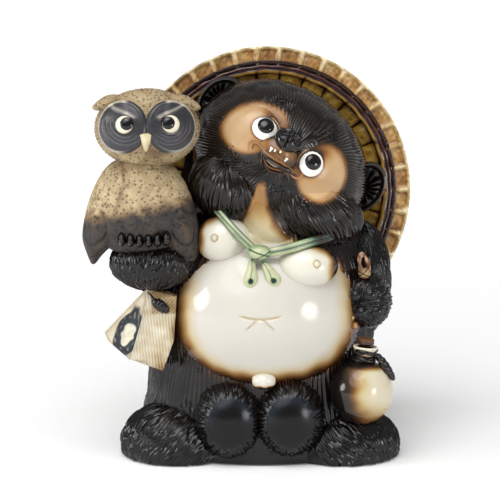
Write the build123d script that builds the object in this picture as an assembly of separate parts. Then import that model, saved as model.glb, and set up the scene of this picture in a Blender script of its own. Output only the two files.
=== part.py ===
from build123d import *
from build123d.topology import SkipClean
import os
from math import asin, atan2, cos, degrees, radians, sin, sqrt

# A glazed stoneware tanuki that stands with an owl on one paw, an account book hanging under it and a bottle
# held in the other. It is fired in one piece from hollow casts and pressed pieces joined with slip.
# Millimetres. The front faces -Y, +X is at the viewer's right and +Z is up. The origin is the centre of the
# drain hole, on the face that the figure stands on. Left and right in the names are the viewer's.

# Walls and cutters
wall = 5.0              # fired wall of the body, head and hat casts
small_wall = 3.2        # fired wall of the owl and the bottle
overrun = 2.0           # how far a cutter runs past the face that it cuts
slip_line = 0.2         # thickness of the joining slip between two pieces
seam = 0.6              # groove between two slats of the hat

# Body cast: height to the open neck, half width and half depth at the floor
body_height = 158.0
body_half_width = 78.0
body_half_depth = 58.0
floor_thickness = 6.0
drain_radius = 10.0
# each level, as shares of the height, the half width, the half depth, and the half depth again for the shift back
body_level_shares = (
    (0.000, 1.000, 1.000, -0.03),
    (0.076, 0.987, 1.000, -0.03),
    (0.220, 0.923, 0.950, -0.05),
    (0.350, 0.897, 0.853, -0.12),
    (0.475, 0.891, 0.741, -0.21),
    (0.600, 0.885, 0.672, -0.28),
    (0.747, 0.859, 0.638, -0.28),
    (0.873, 0.756, 0.586, -0.24),
    (0.950, 0.603, 0.517, -0.21),
    (1.000, 0.462, 0.431, -0.17),
)

# Belly, breasts and what lies under the belly: half width, half depth, half height
belly_half = (60.0, 49.0, 55.0)
belly_place_shares = (0.03, -0.38, 0.557)
breast_left_half = (17.0, 15.0, 14.5)
breast_left_place_shares = (-0.30, -0.72, 0.858)
breast_right_half = (19.0, 14.0, 13.0)
breast_right_place_shares = (0.335, -0.90, 0.764)
bud_radius = 3.4
bud_sunk = 1.8
bud_left_shares = (-0.30, 0.20)
bud_right_shares = (0.31, 0.28)
throat_half = (20.0, 13.0, 28.0)
throat_place_shares = (0.064, -0.647, 0.943)
throat_roll = -8.0
pouch_half = (21.5, 17.0, 24.0)
pouch_left_place_shares = (-0.25, -0.90, 0.170)
pouch_right_place_shares = (0.21, -0.92, 0.180)
stub_half = (7.5, 7.0, 5.5)
stub_place_shares = (0.012, -1.03, 0.335)

# Feet and tail
foot_half = (36.0, 34.0, 25.0)
foot_left_place_shares = (-0.66, -0.50, 0.050)
foot_right_place_shares = (0.63, -0.50, 0.040)
tail_half = (23.0, 22.0, 33.0)
tail_place_shares = (-0.10, 0.86, 0.170)
tail_roll = 8.0

# Arms and paws
perch_arm_half = (18.0, 25.0, 21.0)
perch_arm_place_shares = (-0.80, -0.36, 0.745)
perch_paw_half = (25.5, 21.0, 17.0)
perch_paw_place_shares = (-0.853, -0.72, 0.770)
bottle_arm_half = (18.0, 23.0, 36.0)
bottle_arm_place_shares = (0.795, -0.19, 0.671)
bottle_paw_half = (15.0, 14.0, 17.0)
bottle_paw_place_shares = (0.820, -0.62, 0.614)

# Head cast, rolled to the viewer's right
head_half = (57.0, 45.0, 46.5)
head_roll = 35.0
head_place_shares = (0.141, -0.207, 1.139)
jowl_left_half = (25.0, 25.0, 20.5)
jowl_left_place_shares = (-0.307, -0.422, -0.643)
jowl_right_half = (32.0, 25.0, 19.5)
jowl_right_place_shares = (0.546, -0.467, -0.226)
jowl_right_roll = -11.0
# Face pieces on the head, at shares of its half width and half height
patch_half = (20.0, 9.0, 18.5)
patch_sunk = 6.5
patch_left_shares = (-0.46, 0.14)
patch_right_shares = (0.35, 0.25)
eye_left_half = (9.4, 8.0, 8.2)
eye_right_half = (8.6, 8.0, 9.0)
eye_sunk = 3.0
eye_left_shares = (-0.37, 0.27)
eye_right_shares = (0.235, 0.255)
pupil_half = (5.0, 2.6, 4.8)
pupil_sunk = 0.9
pupil_left_shares = (0.04, 0.26)
pupil_right_shares = (-0.13, 0.15)
muzzle_half = (13.5, 11.0, 11.5)
muzzle_sunk = 4.5
muzzle_shares = (-0.12, 0.14)
nose_half = (8.4, 6.2, 7.4)
nose_lift = 2.0
nose_shares = (0.05, 0.68)
lip_half = (9.5, 6.0, 3.2)
lip_sunk = 1.6
lip_shares = (0.33, -0.76)
tooth_half = (1.6, 1.6, 1.8)
tooth_sunk = 0.5
tooth_places_shares = ((-0.34, -0.11), (0.47, -0.09))
ear_half = (13.0, 8.0, 17.5)
ear_cup_share = 0.74
ear_cup_forward_share = 0.62
ear_left_place_shares = (-0.885, 0.05, 0.17)
ear_right_place_shares = (0.905, 0.05, 0.33)

# Hat, a round rain hat of slats hung on the back of the head, open to the front
hat_radius = 90.0
hat_depth = 50.0
hat_tilt = -3.0
hat_place_shares = (0.05, 0.276, 1.003)
hat_cone_bulge_share = 0.13
rim_width = 14.0
rim_thickness = 5.0
rim_slat_count = 38
ring_thickness = 5.6
inner_slat_length = 17.0
inner_slat_thickness = 2.4
inner_slat_count = 30
crumb_share = 0.025     # a slat cut down to less than this share of itself is left off

# Neck cord with its bow, round shares of the body's half width, half depth and height
cord_radius = 3.0
bend_reach_share = 0.45     # how much of the shorter run a bend of the cord takes
cord_left_point_shares = (
    (-0.40, -0.72, 1.000), (-0.29, -0.93, 0.945), (-0.16, -1.01, 0.880), (-0.04, -1.04, 0.825),
)
cord_right_point_shares = (
    (0.01, -1.04, 0.822), (0.16, -1.07, 0.836), (0.34, -1.03, 0.860), (0.56, -0.82, 0.880), (0.74, -0.52, 0.905),
)
knot_half = (7.2, 7.0, 4.6)
knot_place_shares = (-0.026, -1.06, 0.828)
bow_loop_half = (5.0, 5.0, 9.4)
bow_left_place_shares = (-0.086, -1.09, 0.745)
bow_left_roll = 4.0
bow_right_place_shares = (0.062, -1.09, 0.745)
bow_right_roll = -30.0

# Bottle with its rope
bottle_half = (19.5, 19.0, 20.0)
bottle_place_shares = (0.770, -0.80, 0.272)
bottle_lean = 5.0
bottle_neck_radius = 5.4
bottle_neck_height = 10.0
bottle_bore_radius = 2.6
collar_radius = 7.8
collar_height = 6.4
stopper_radius = 5.2
stopper_height = 5.0
neck_cord_radius = 2.2
neck_cord_turns = 2
cord_tail_half = (3.2, 3.4, 10.5)
cord_tail_place_shares = (0.66, -0.22, 0.86)
cord_tail_roll = -33.0
loop_half_width = 5.2
loop_half_height = 8.4
loop_rope_radius = 2.0
loop_place_shares = (-0.10, -0.05, 1.00)
rope_knot_half = (5.2, 5.0, 4.4)
rope_knot_place_shares = (-0.10, -0.45, 1.00)

# Owl on the perch paw
owl_body_half = (31.0, 26.0, 36.0)
owl_body_lift_share = 1.75
owl_body_side_share = -0.25
owl_head_half = (31.8, 26.0, 24.0)
owl_head_lift_share = 1.42
owl_head_side_share = 0.14
owl_wing_half = (13.0, 22.0, 35.0)
owl_wing_roll = 14.0
owl_wing_place_shares = (0.66, 0.06, -0.06)
owl_disc_half = (14.4, 5.0, 15.6)
owl_disc_sunk = 3.4
owl_disc_left_shares = (-0.46, 0.10)
owl_disc_right_shares = (0.50, 0.10)
owl_eye_half = (5.8, 4.0, 5.5)
owl_eye_sunk = 2.2
owl_eye_left_shares = (0.20, 0.08)
owl_eye_right_shares = (-0.12, 0.10)
owl_pupil_half = (3.7, 1.6, 3.7)
owl_pupil_sunk = 0.7
owl_pupil_share = 0.30
beak_radius = 4.2
beak_tip_radius = 0.8
beak_length = 11.0
beak_place_shares = (0.02, -1.00, -0.02)
owl_tuft_half = (9.5, 7.0, 4.6)
owl_tuft_roll = 18.0
owl_tuft_place_shares = (0.72, -0.28, 0.64)
toe_half = (2.9, 7.0, 4.2)
toe_place_shares = (0.00, -0.55, -0.62)
toe_pitch = 5.2
toes_per_foot = 3
feet_spread = 7.9

# Account book that hangs under the perch paw, its points as shares of its width and height
book_place_shares = (-0.12, -0.40, -0.90)
book_width = 43.0
book_height = 50.0
book_thickness = 13.0
cover_thickness = 3.4
label_thickness = 1.0
page_outline_shares = ((0.0, 0.0), (0.42, -0.09), (0.38, -0.63), (0.22, -1.0), (-0.225, -0.86), (0.0, -0.15))
cover_outline_shares = ((0.0, 0.0), (-0.585, -0.53), (-0.54, -0.63), (-0.235, -0.87), (0.0, -0.15))
label_outline_shares = ((-0.09, -0.22), (-0.42, -0.50), (-0.40, -0.64), (-0.25, -0.76), (-0.09, -0.42))
tie_half = (6.2, 3.4, 3.6)
tie_place_shares = (0.20, -0.20)
tie_roll = 38.0


def unit_ball():
    """A ball of radius 1 whose skin is two halves that meet at its poles, so that no face closes on itself."""
    half_ball = Sphere(1, arc_size3=180, align=None)
    with SkipClean():
        ball = half_ball + Rot(0, 0, 180) * half_ball
    return ball.solids()[0]


ball = unit_ball()


class Form:
    """A clay form that can be made drawn in by a wall, or grown by the slip line to cut its neighbours."""

    def __init__(self, make):
        self.solid = make
        self.cutter = make(-slip_line)


class Egg:
    """A rounded clay form, as half sizes about a centre, with its own turn."""

    def __init__(self, place, half):
        self.place = place
        self.half = half
        self.cutter = self.solid(-slip_line)

    def solid(self, inset=0):
        """The whole form, drawn in by a wall where one is given, with its poles at the front and the back."""
        width, depth, height = (size - inset for size in self.half)
        return self.place * Rot(90, 0, 0) * scale(ball, by=(width, height, depth))

    def point(self, *shares):
        """A place in the form, at shares of its half sizes."""
        return self.place * Pos(*(size * share for size, share in zip(self.half, shares)))

    def front(self, across_share, up_share):
        """A place on the front of the form, turned so that its -Y is the way out of the clay."""
        depth_share = sqrt(1 - across_share ** 2 - up_share ** 2)
        shares = (across_share, -depth_share, up_share)
        outward = Vector(*(share / size for size, share in zip(self.half, shares))).normalized()
        turn = Rot(0, 0, degrees(atan2(outward.X, -outward.Y))) * Rot(-degrees(asin(outward.Z)), 0, 0)
        return self.point(*shares) * turn

    def carry(self, shares, half, sunk):
        """A smaller form on the front of this one, its centre sunk under the surface."""
        return Egg(self.front(*shares) * Pos(0, sunk, 0), half)


def body_point(across_share, depth_share, height_share):
    """A place in the body's room, from the floor's centre."""
    return Pos(body_half_width * across_share, body_half_depth * depth_share, body_height * height_share)


def body_egg(place_shares, half, roll=0):
    return Egg(body_point(*place_shares) * Rot(0, roll, 0), half)


def cut(solid, *carriers):
    """What stays of a piece where its carriers leave it room, without loose crumbs."""
    for carrier in carriers:
        solid = solid - carrier.cutter
    return max(solid.solids(), key=lambda piece: piece.volume)


def write(name, *solids):
    shape = solids[0] if len(solids) == 1 else Compound(children=list(solids))
    export_step(shape, "parts/" + name + ".step")


os.makedirs("parts", exist_ok=True)


# Body cast, its floor and the ground, which cuts what would stand below it
def body_loft(inset, run=0):
    """The trunk's surface, drawn in by a wall and run past both ends."""
    sections = []
    for height_share, width_share, depth_share, shift_share in body_level_shares:
        height = body_height * height_share + run * (2 * height_share - 1)
        ellipse = Ellipse(body_half_width * width_share - inset, body_half_depth * depth_share - inset)
        sections.append(Pos(0, body_half_depth * shift_share, height) * ellipse)
    return loft(sections)


def ground_block(inset=0):
    """Everything below the face that the figure stands on, where no slip line is needed."""
    return Pos(0, 0, -body_half_depth) * Box(4 * body_half_width, 4 * body_half_width, 2 * body_half_depth)


body = Form(body_loft)
ground = Form(ground_block)
floor_slab = Pos(0, 0, floor_thickness / 2) * Box(4 * body_half_width, 4 * body_half_width, floor_thickness)
drain = Cylinder(drain_radius, 2 * floor_thickness + overrun)
write("body_shell", body.solid(0) - body_loft(wall, overrun))
write("base_floor", (body_loft(wall + slip_line, overrun) & floor_slab) - drain)

# Head, belly, breasts, throat and pouches
head = body_egg(head_place_shares, head_half, head_roll)
belly = body_egg(belly_place_shares, belly_half)
breast_left = body_egg(breast_left_place_shares, breast_left_half)
breast_right = body_egg(breast_right_place_shares, breast_right_half)
bud_half = (bud_radius, bud_radius, bud_radius)
bud_left = breast_left.carry(bud_left_shares, bud_half, bud_sunk)
bud_right = breast_right.carry(bud_right_shares, bud_half, bud_sunk)
write("belly_dome", cut(belly.solid(), body, head))
write("chest_left", cut(breast_left.solid(), body, belly, head))
write("chest_right", cut(breast_right.solid(), body, belly, head, breast_left))
write("chest_buds", cut(bud_left.solid(), breast_left), cut(bud_right.solid(), breast_right))

stub = body_egg(stub_place_shares, stub_half)
pouch_left = body_egg(pouch_left_place_shares, pouch_half)
pouch_right = body_egg(pouch_right_place_shares, pouch_half)
write("belly_stub", cut(stub.solid(), body, belly))
write("luck_pouch_right", cut(pouch_right.solid(), body, belly, stub, ground))
write("luck_pouch_left", cut(pouch_left.solid(), body, belly, stub, pouch_right, ground))

# Feet and tail
foot_left = body_egg(foot_left_place_shares, foot_half)
foot_right = body_egg(foot_right_place_shares, foot_half)
tail = body_egg(tail_place_shares, tail_half, tail_roll)
write("foot_left", cut(foot_left.solid(), ground, body, pouch_left))
write("foot_right", cut(foot_right.solid(), ground, body, pouch_right))
write("tail", cut(tail.solid(), ground, body))

# Arms and paws
perch_arm = body_egg(perch_arm_place_shares, perch_arm_half)
perch_paw = body_egg(perch_paw_place_shares, perch_paw_half)
bottle_arm = body_egg(bottle_arm_place_shares, bottle_arm_half)
bottle_paw = body_egg(bottle_paw_place_shares, bottle_paw_half)
write("perch_arm", cut(perch_arm.solid(), body, belly, head, breast_left))
write("perch_paw", cut(perch_paw.solid(), body, belly, head, perch_arm, breast_left))
write("bottle_arm", cut(bottle_arm.solid(), body, belly, head, breast_right))
write("bottle_paw", cut(bottle_paw.solid(), body, belly, bottle_arm, breast_right))

# Head cast with its jowls, which also stand on the shoulders
jowl_left = Egg(head.point(*jowl_left_place_shares), jowl_left_half)
jowl_right = Egg(head.point(*jowl_right_place_shares) * Rot(0, jowl_right_roll, 0), jowl_right_half)
throat = body_egg(throat_place_shares, throat_half, throat_roll)
chest = (body, belly, breast_left, breast_right)
write("head_shell", cut(head.solid(), body) - head.solid(wall))
write("jowl_left", cut(jowl_left.solid(), head, perch_arm, perch_paw, *chest))
write("jowl_right", cut(jowl_right.solid(), head, jowl_left, bottle_arm, *chest))
write("throat_strip", cut(throat.solid(), head, jowl_left, jowl_right, *chest))

# Face: patches, muzzle, nose, lip, teeth and eyes
patch_left = head.carry(patch_left_shares, patch_half, patch_sunk)
patch_right = head.carry(patch_right_shares, patch_half, patch_sunk)
muzzle = head.carry(muzzle_shares, muzzle_half, muzzle_sunk)
nose = muzzle.carry(nose_shares, nose_half, -nose_lift)
lip = muzzle.carry(lip_shares, lip_half, lip_sunk)
teeth = [muzzle.carry(shares, tooth_half, tooth_sunk) for shares in tooth_places_shares]
write("muzzle", cut(muzzle.solid(), head, jowl_left, throat))
write("face_patch_left", cut(patch_left.solid(), head, muzzle, jowl_left))
write("face_patch_right", cut(patch_right.solid(), head, muzzle, jowl_right))
write("nose", cut(nose.solid(), head, muzzle, patch_left, patch_right))
write("lower_lip", cut(lip.solid(), head, muzzle, throat, jowl_left, patch_left, patch_right))
write("teeth", *[cut(tooth.solid(), muzzle, nose, lip) for tooth in teeth])

eye_left = head.carry(eye_left_shares, eye_left_half, eye_sunk)
eye_right = head.carry(eye_right_shares, eye_right_half, eye_sunk)
pupil_left = eye_left.carry(pupil_left_shares, pupil_half, pupil_sunk)
pupil_right = eye_right.carry(pupil_right_shares, pupil_half, pupil_sunk)
face = (head, muzzle, patch_left, patch_right, nose)
write("eyeballs", cut(eye_left.solid(), *face), cut(eye_right.solid(), *face))
write("pupils", cut(pupil_left.solid(), eye_left, *face), cut(pupil_right.solid(), eye_right, *face))


# Ears, cupped to the front
def ear(place_shares):
    """One ear: a flat round form with a dish in its front."""
    form = Egg(head.point(*place_shares), ear_half)
    dish = Egg(form.point(0, -ear_cup_forward_share, 0), tuple(size * ear_cup_share for size in ear_half))
    return cut(form.solid(), dish, head, jowl_left, jowl_right, patch_left, patch_right)


write("ear_left", ear(ear_left_place_shares))
write("ear_right", ear(ear_right_place_shares))

# Hat: its axis runs to the back, along the local Z of this place
hat_place = body_point(*hat_place_shares) * Rot(-90 + hat_tilt, 0, 0)
band_radius = hat_radius - rim_width
cone_bulge = hat_depth * hat_cone_bulge_share


def revolved(outline, arc=360):
    """A turned form of the hat, from its outline in radius and depth."""
    return hat_place * revolve(Plane.XZ * make_face(outline), axis=Axis.Z, revolution_arc=arc)


def hat_cone(radius, front, apex):
    """The hat's hollow side or its outside, filled to the axis."""
    middle = (radius / 2 + cone_bulge, (front + apex) / 2 + cone_bulge)
    outline = Curve() + [
        ThreePointArc((radius, front), middle, (0, apex)),
        Line((0, apex), (0, front)),
        Line((0, front), (radius, front)),
    ]
    return revolved(outline)


def hat_form(inset=0):
    """The hat's turned shell, whose seats for the slats keep off by the slip line."""
    outside = hat_cone(hat_radius - inset, rim_thickness + inset, hat_depth - inset)
    return outside - hat_cone(band_radius + inset, rim_thickness + inset - wall, hat_depth - wall + inset)


def inner_depth(radius):
    """Depth of the hat's hollow side at a radius, by its straight chord."""
    return rim_thickness + (hat_depth - wall - rim_thickness) * (1 - radius / band_radius)


hat = Form(hat_form)
wearer = (body, head, perch_arm, bottle_arm)
write("hat_shell", cut(hat.solid(), *wearer))

ring_outer = band_radius + ring_thickness / 2
ring_inner = band_radius - ring_thickness / 2
slat_start = ring_inner - seam
slat_end = slat_start - inner_slat_length
rim_outline = Curve() + Polyline(
    (ring_outer + seam, rim_thickness + overrun), (ring_outer + seam, rim_thickness / 4),
    (hat_radius - rim_width / 8, 0), (hat_radius, rim_thickness / 2), (hat_radius, rim_thickness + overrun),
    close=True)
ring_outline = Curve() + Polyline(
    (ring_inner, rim_thickness + overrun), (ring_inner, 0), (band_radius, -rim_thickness / 4),
    (ring_outer, 0), (ring_outer, rim_thickness + overrun), close=True)
slat_outline = Curve() + Polyline(
    (slat_start, rim_thickness), (slat_start, rim_thickness + 2 * inner_slat_thickness),
    (slat_end, inner_depth(slat_end) + 2 * inner_slat_thickness), (slat_end, inner_depth(slat_end)), close=True)


def slats(outline, count, radius):
    """Equal slats round the hat, a seam apart, cut where the hat and its wearer are."""
    slat = revolved(outline, 360 / count - degrees(seam / radius))
    pieces = Part() + [(hat_place * Rot(0, 0, 360 * index / count) * hat_place.inverse()) * slat
                       for index in range(count)]
    for carrier in (hat,) + wearer:
        pieces = pieces - carrier.cutter
    return [piece for piece in pieces.solids() if piece.volume > crumb_share * slat.volume]


write("hat_rim_slats", *slats(rim_outline, rim_slat_count, hat_radius))
write("hat_ring", cut(revolved(ring_outline), hat, *wearer))
write("hat_inner_slats", *slats(slat_outline, inner_slat_count, slat_end))


# Neck cord and bow
def cord(point_shares):
    """A round cord along its points, with an arc at each of them."""
    points = [body_point(*shares).position for shares in point_shares]
    bends = []
    for before, here, after in zip(points, points[1:], points[2:]):
        run_in = here - before
        run_out = after - here
        reach = bend_reach_share * min(run_in.length, run_out.length)
        half_turn = radians(run_in.get_angle(run_out)) / 2
        bends.append(reach * cos(half_turn) / sin(half_turn))
    path = FilletPolyline(*points, radius=bends)
    return sweep(Plane(origin=path @ 0, z_dir=path % 0) * Circle(cord_radius), path=path)


knot = body_egg(knot_place_shares, knot_half)
bow_left = body_egg(bow_left_place_shares, bow_loop_half, bow_left_roll)
bow_right = body_egg(bow_right_place_shares, bow_loop_half, bow_right_roll)
write("bow_knot", cut(knot.solid(), throat, *chest))
write("cord_left", cut(cord(cord_left_point_shares), knot, throat, head, jowl_left, *chest))
write("cord_right", cut(cord(cord_right_point_shares), knot, throat, head, jowl_right, bottle_arm, *chest))
write("bow_loops", cut(bow_left.solid(), knot, *chest), cut(bow_right.solid(), knot, bow_left, *chest))

# Bottle, its neck, collar, stopper and rope
bottle_place = body_point(*bottle_place_shares) * Rot(0, bottle_lean, 0)
bottle_egg = Egg(bottle_place, bottle_half)
neck_base = bottle_half[2] - small_wall / 2
neck_top = neck_base + bottle_neck_height
collar_base = neck_top - collar_height
up = (Align.CENTER, Align.CENTER, Align.MIN)


def bottle_form(inset=0):
    neck = Cylinder(bottle_neck_radius - inset, bottle_neck_height - inset, align=up)
    return bottle_egg.solid(inset) + bottle_place * Pos(0, 0, neck_base) * neck


def collar_form(inset=0):
    """The flared lip, with a flat foot at its smaller end."""
    cone = Cone(bottle_neck_radius - inset, collar_radius - inset, collar_height - 2 * inset, align=up)
    return bottle_place * Pos(0, 0, collar_base + inset) * cone


bottle = Form(bottle_form)
collar = Form(collar_form)
bottle_seat = (body, bottle_arm, bottle_paw, foot_right, ground, pouch_right)
bore = bottle_place * Cylinder(bottle_bore_radius, 2 * neck_top, align=up)
write("bottle_shell", cut(bottle.solid(), *bottle_seat) - (bottle_egg.solid(small_wall) + bore))
write("bottle_collar", cut(collar.solid(), bottle, bottle_paw, body, bottle_arm))
stopper = Pos(0, 0, neck_top + slip_line) * Cylinder(stopper_radius, stopper_height, align=up)
write("bottle_stopper", cut(bottle_place * stopper, bottle_paw, bottle_arm, collar))
neck_cords = []
for turn in range(neck_cord_turns):
    height = neck_base + neck_cord_radius + (2 * neck_cord_radius + slip_line) * turn
    ring = Torus(bottle_neck_radius + neck_cord_radius / 2, neck_cord_radius)
    neck_cords.append(cut(bottle_place * Pos(0, 0, height) * ring, bottle, collar, *bottle_seat))
write("bottle_neck_cord", *neck_cords)
cord_tail = Egg(bottle_egg.point(*cord_tail_place_shares) * Rot(0, cord_tail_roll, 0), cord_tail_half)
cord_room = Form(lambda inset=0: bottle_place * Pos(0, 0, neck_base) * Cylinder(
    bottle_neck_radius + 3 * neck_cord_radius / 2 - inset, bottle_neck_height, align=up))
write("bottle_cord_tail", cut(cord_tail.solid(), bottle, cord_room, *bottle_seat))

# Rope loop that stands out of the paw, with its knot
loop_place = bottle_paw.point(*loop_place_shares) * Pos(0, 0, loop_half_height / 2)
loop = Egg(loop_place, (loop_half_width, loop_rope_radius, loop_half_height))
hole_half = (loop_half_width - loop_rope_radius, 2 * loop_rope_radius, loop_half_height - loop_rope_radius)
loop_hole = Egg(loop_place, hole_half)
rope_knot = Egg(bottle_paw.point(*rope_knot_place_shares), rope_knot_half)
hand = (bottle_paw, bottle_arm, body, belly, breast_right)
write("rope_knot", cut(rope_knot.solid(), *hand))
write("rope_loop", cut(loop.solid(), loop_hole, rope_knot, *hand))

# Owl: body on the paw, head on the body
owl_body = Egg(perch_paw.point(owl_body_side_share, 0, owl_body_lift_share), owl_body_half)
owl_head = Egg(owl_body.point(owl_head_side_share, 0, owl_head_lift_share), owl_head_half)
owl_seat = (perch_paw, perch_arm, head, jowl_left, body)
write("owl_body", cut(owl_body.solid(), *owl_seat) - owl_body.solid(small_wall))
write("owl_head", cut(owl_head.solid(), owl_body, head, jowl_left) - owl_head.solid(small_wall))
for name, side in (("owl_wing_left", -1), ("owl_wing_right", 1)):
    across, depth, lift = owl_wing_place_shares
    wing = Egg(owl_body.point(side * across, depth, lift) * Rot(0, -side * owl_wing_roll, 0), owl_wing_half)
    write(name, cut(wing.solid(), owl_body, owl_head, breast_left, *owl_seat))


def beak_form(inset=0):
    cone = Cone(beak_tip_radius - inset, beak_radius - inset, beak_length - inset, align=up)
    return owl_head.point(*beak_place_shares) * Pos(0, 0, -beak_length) * cone


beak = Form(beak_form)
disc_left = owl_head.carry(owl_disc_left_shares, owl_disc_half, owl_disc_sunk)
disc_right = owl_head.carry(owl_disc_right_shares, owl_disc_half, owl_disc_sunk)
owl_eye_left = disc_left.carry(owl_eye_left_shares, owl_eye_half, owl_eye_sunk)
owl_eye_right = disc_right.carry(owl_eye_right_shares, owl_eye_half, owl_eye_sunk)
owl_pupil_left = owl_eye_left.carry((owl_pupil_share, 0), owl_pupil_half, owl_pupil_sunk)
owl_pupil_right = owl_eye_right.carry((-owl_pupil_share, 0), owl_pupil_half, owl_pupil_sunk)
discs = (owl_head, owl_body, disc_left, disc_right)
write("owl_discs", cut(disc_left.solid(), owl_head, owl_body), cut(disc_right.solid(), head, *discs[:3]))
write("owl_beak", cut(beak.solid(), *discs))
write("owl_eyes", *[cut(eye.solid(), beak, *discs) for eye in (owl_eye_left, owl_eye_right)])
write("owl_pupils", cut(owl_pupil_left.solid(), owl_eye_left, *discs),
      cut(owl_pupil_right.solid(), owl_eye_right, *discs))
tufts = []
for side in (-1, 1):
    across, depth, lift = owl_tuft_place_shares
    tuft = Egg(owl_head.point(side * across, depth, lift) * Rot(0, side * owl_tuft_roll, 0), owl_tuft_half)
    tufts.append(cut(tuft.solid(), head, *discs))
write("owl_tufts", *tufts)

# Owl's toes on the paw
toes = []
for side in (-1, 1):
    for index in range(toes_per_foot):
        across = side * feet_spread + (index - (toes_per_foot - 1) / 2) * toe_pitch
        toe = Egg(owl_body.point(*toe_place_shares) * Pos(across, 0, 0), toe_half)
        toes.append((toe, cut(toe.solid(), owl_body, perch_paw, *[other for other, _ in toes[-1:]])))
write("owl_feet", *[solid for _, solid in toes])


# Account book: pages, cover, its bare label and the tie
def book_plate(outline_shares, front, thickness, inset=0):
    """A flat piece of the book, from its outline as seen from the front."""
    points = [(book_width * across, book_height * up_share) for across, up_share in outline_shares]
    face = Plane.XZ * make_face(Polyline(*points, close=True))
    if inset:
        face = offset(face, -inset)
    return book_place * Pos(0, front + thickness - inset, 0) * extrude(face, thickness - 2 * inset)


book_place = perch_paw.point(*book_place_shares)
pages = Form(lambda inset=0: book_plate(page_outline_shares, 0, book_thickness, inset))
cover = book_plate(cover_outline_shares, 0, cover_thickness)
label = Form(lambda inset=0: book_plate(label_outline_shares, -label_thickness - slip_line, label_thickness, inset))
book_top = (perch_paw, perch_arm, body, belly)
write("book_pages", cut(pages.solid(), *book_top))
write("book_cover", cut(cover, pages, *book_top))
write("book_label", cut(label.solid(), *book_top))
tie_across, tie_up = tie_place_shares
tie_place = book_place * Pos(book_width * tie_across, 0, book_height * tie_up) * Rot(0, tie_roll, 0)
tie = Egg(tie_place, tie_half)
write("book_tie", cut(tie.solid(), pages, label, *book_top))
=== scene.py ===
import bpy
import math
import numpy as np
from mathutils import Euler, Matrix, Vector
from mathutils.bvhtree import BVHTree


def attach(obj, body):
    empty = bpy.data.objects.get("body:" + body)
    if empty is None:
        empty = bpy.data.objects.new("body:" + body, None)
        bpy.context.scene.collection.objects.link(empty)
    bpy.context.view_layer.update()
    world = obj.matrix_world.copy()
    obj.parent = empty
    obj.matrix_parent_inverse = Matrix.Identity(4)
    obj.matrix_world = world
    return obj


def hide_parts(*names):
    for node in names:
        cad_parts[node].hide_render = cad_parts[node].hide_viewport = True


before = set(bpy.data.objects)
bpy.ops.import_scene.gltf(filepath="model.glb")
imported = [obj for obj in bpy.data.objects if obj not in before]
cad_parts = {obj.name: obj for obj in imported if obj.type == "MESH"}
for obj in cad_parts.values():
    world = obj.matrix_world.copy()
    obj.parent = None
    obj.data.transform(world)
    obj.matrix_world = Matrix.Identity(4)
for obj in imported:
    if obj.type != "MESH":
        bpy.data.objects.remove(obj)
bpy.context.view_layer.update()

# Trunk of the figure, a hollow cast of iron-bearing stoneware. The wet clay was combed downwards in rows
# before the black glaze went on, so that the glaze pools in the strokes and breaks on their ridges.
body_levels = (                       # height, half width, half depth, shift to the back, in mm
    (0, 78, 58, -1.7), (12, 77, 58, -1.7), (34.8, 72, 55.1, -2.9), (55.3, 70, 49.5, -7),
    (75, 69.5, 43, -12.2),
    (94.8, 69, 39, -16.2), (118, 67, 37, -16.2), (137.9, 59, 34, -13.9), (150.1, 47, 30, -12.2),
    (158, 36, 25, -9.9))
body_wall = 5.3
body_around = 760
body_rings = 56


class Form:
    """A rounded clay form: its centre and half sizes in mm, and its turn in degrees."""

    def __init__(self, centre, half, turn=(0, 0, 0)):
        self.centre = np.array(centre, float) / 1000
        self.half = np.array(half, float) / 1000
        self.turn = np.array(Euler([math.radians(angle) for angle in turn]).to_matrix())

    def shares(self, points):
        """Points as shares of the half sizes."""
        return (points - self.centre) @ self.turn / self.half

    def place(self, shares):
        return (np.asarray(shares) * self.half) @ self.turn.T + self.centre

    def at(self, spots):
        """Points from spots in mm off the form's centre."""
        return np.asarray(spots) / 1000 @ self.turn.T + self.centre

    def outward(self, shares):
        """The way out of the form's surface at the shares."""
        out = shares / self.half
        return out / np.linalg.norm(out, axis=1)[:, None] @ self.turn.T

    def beside(self, points, width, power=1):
        """1 on the form, falling away over a width in mm beside it."""
        return np.exp(-(np.clip(self.gap(points), 0, 99) / width) ** power)

    def gap(self, points):
        """About how far outside the form points are, in mm."""
        shares = self.shares(points)
        reach = np.linalg.norm(shares, axis=1) + 1e-9
        return 1000 * (reach - 1) * reach / np.linalg.norm(shares / self.half, axis=1)

    def carry(self, across, up, half, sunk):
        """A smaller form on the front of this one, its centre sunk under the surface in mm."""
        spot = np.array((across, -math.sqrt(1 - across ** 2 - up ** 2), up))
        way = spot / self.half
        way = way / np.linalg.norm(way)
        turn = np.array(Euler((-math.asin(way[2]), 0, math.atan2(way[0], -way[1]))).to_matrix())
        form = Form((0, 0, 0), half)
        form.turn = self.turn @ turn
        form.centre = self.place(spot) + form.turn @ np.array((0, sunk / 1000, 0))
        return form


def points_of(piece):
    points = np.zeros(3 * len(piece.data.vertices))
    piece.data.vertices.foreach_get("co", points)
    return points.reshape(-1, 3)


def move_points(piece, points):
    piece.data.vertices.foreach_set("co", np.ascontiguousarray(points, float).ravel())
    piece.data.update()


def thrown(reach, way, lift):
    """Points round an upright axis, from their reach, their way round and their height."""
    return np.stack([reach * np.cos(way), reach * np.sin(way), lift], axis=1)


def grid(name, across, along):
    """A thin sheet of clay, with its two ways from -1 to 1."""
    bpy.ops.mesh.primitive_grid_add(x_subdivisions=across, y_subdivisions=along, size=2)
    sheet = bpy.context.object
    sheet.name = name
    flat = points_of(sheet)
    return sheet, flat[:, 0], flat[:, 1]


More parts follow.
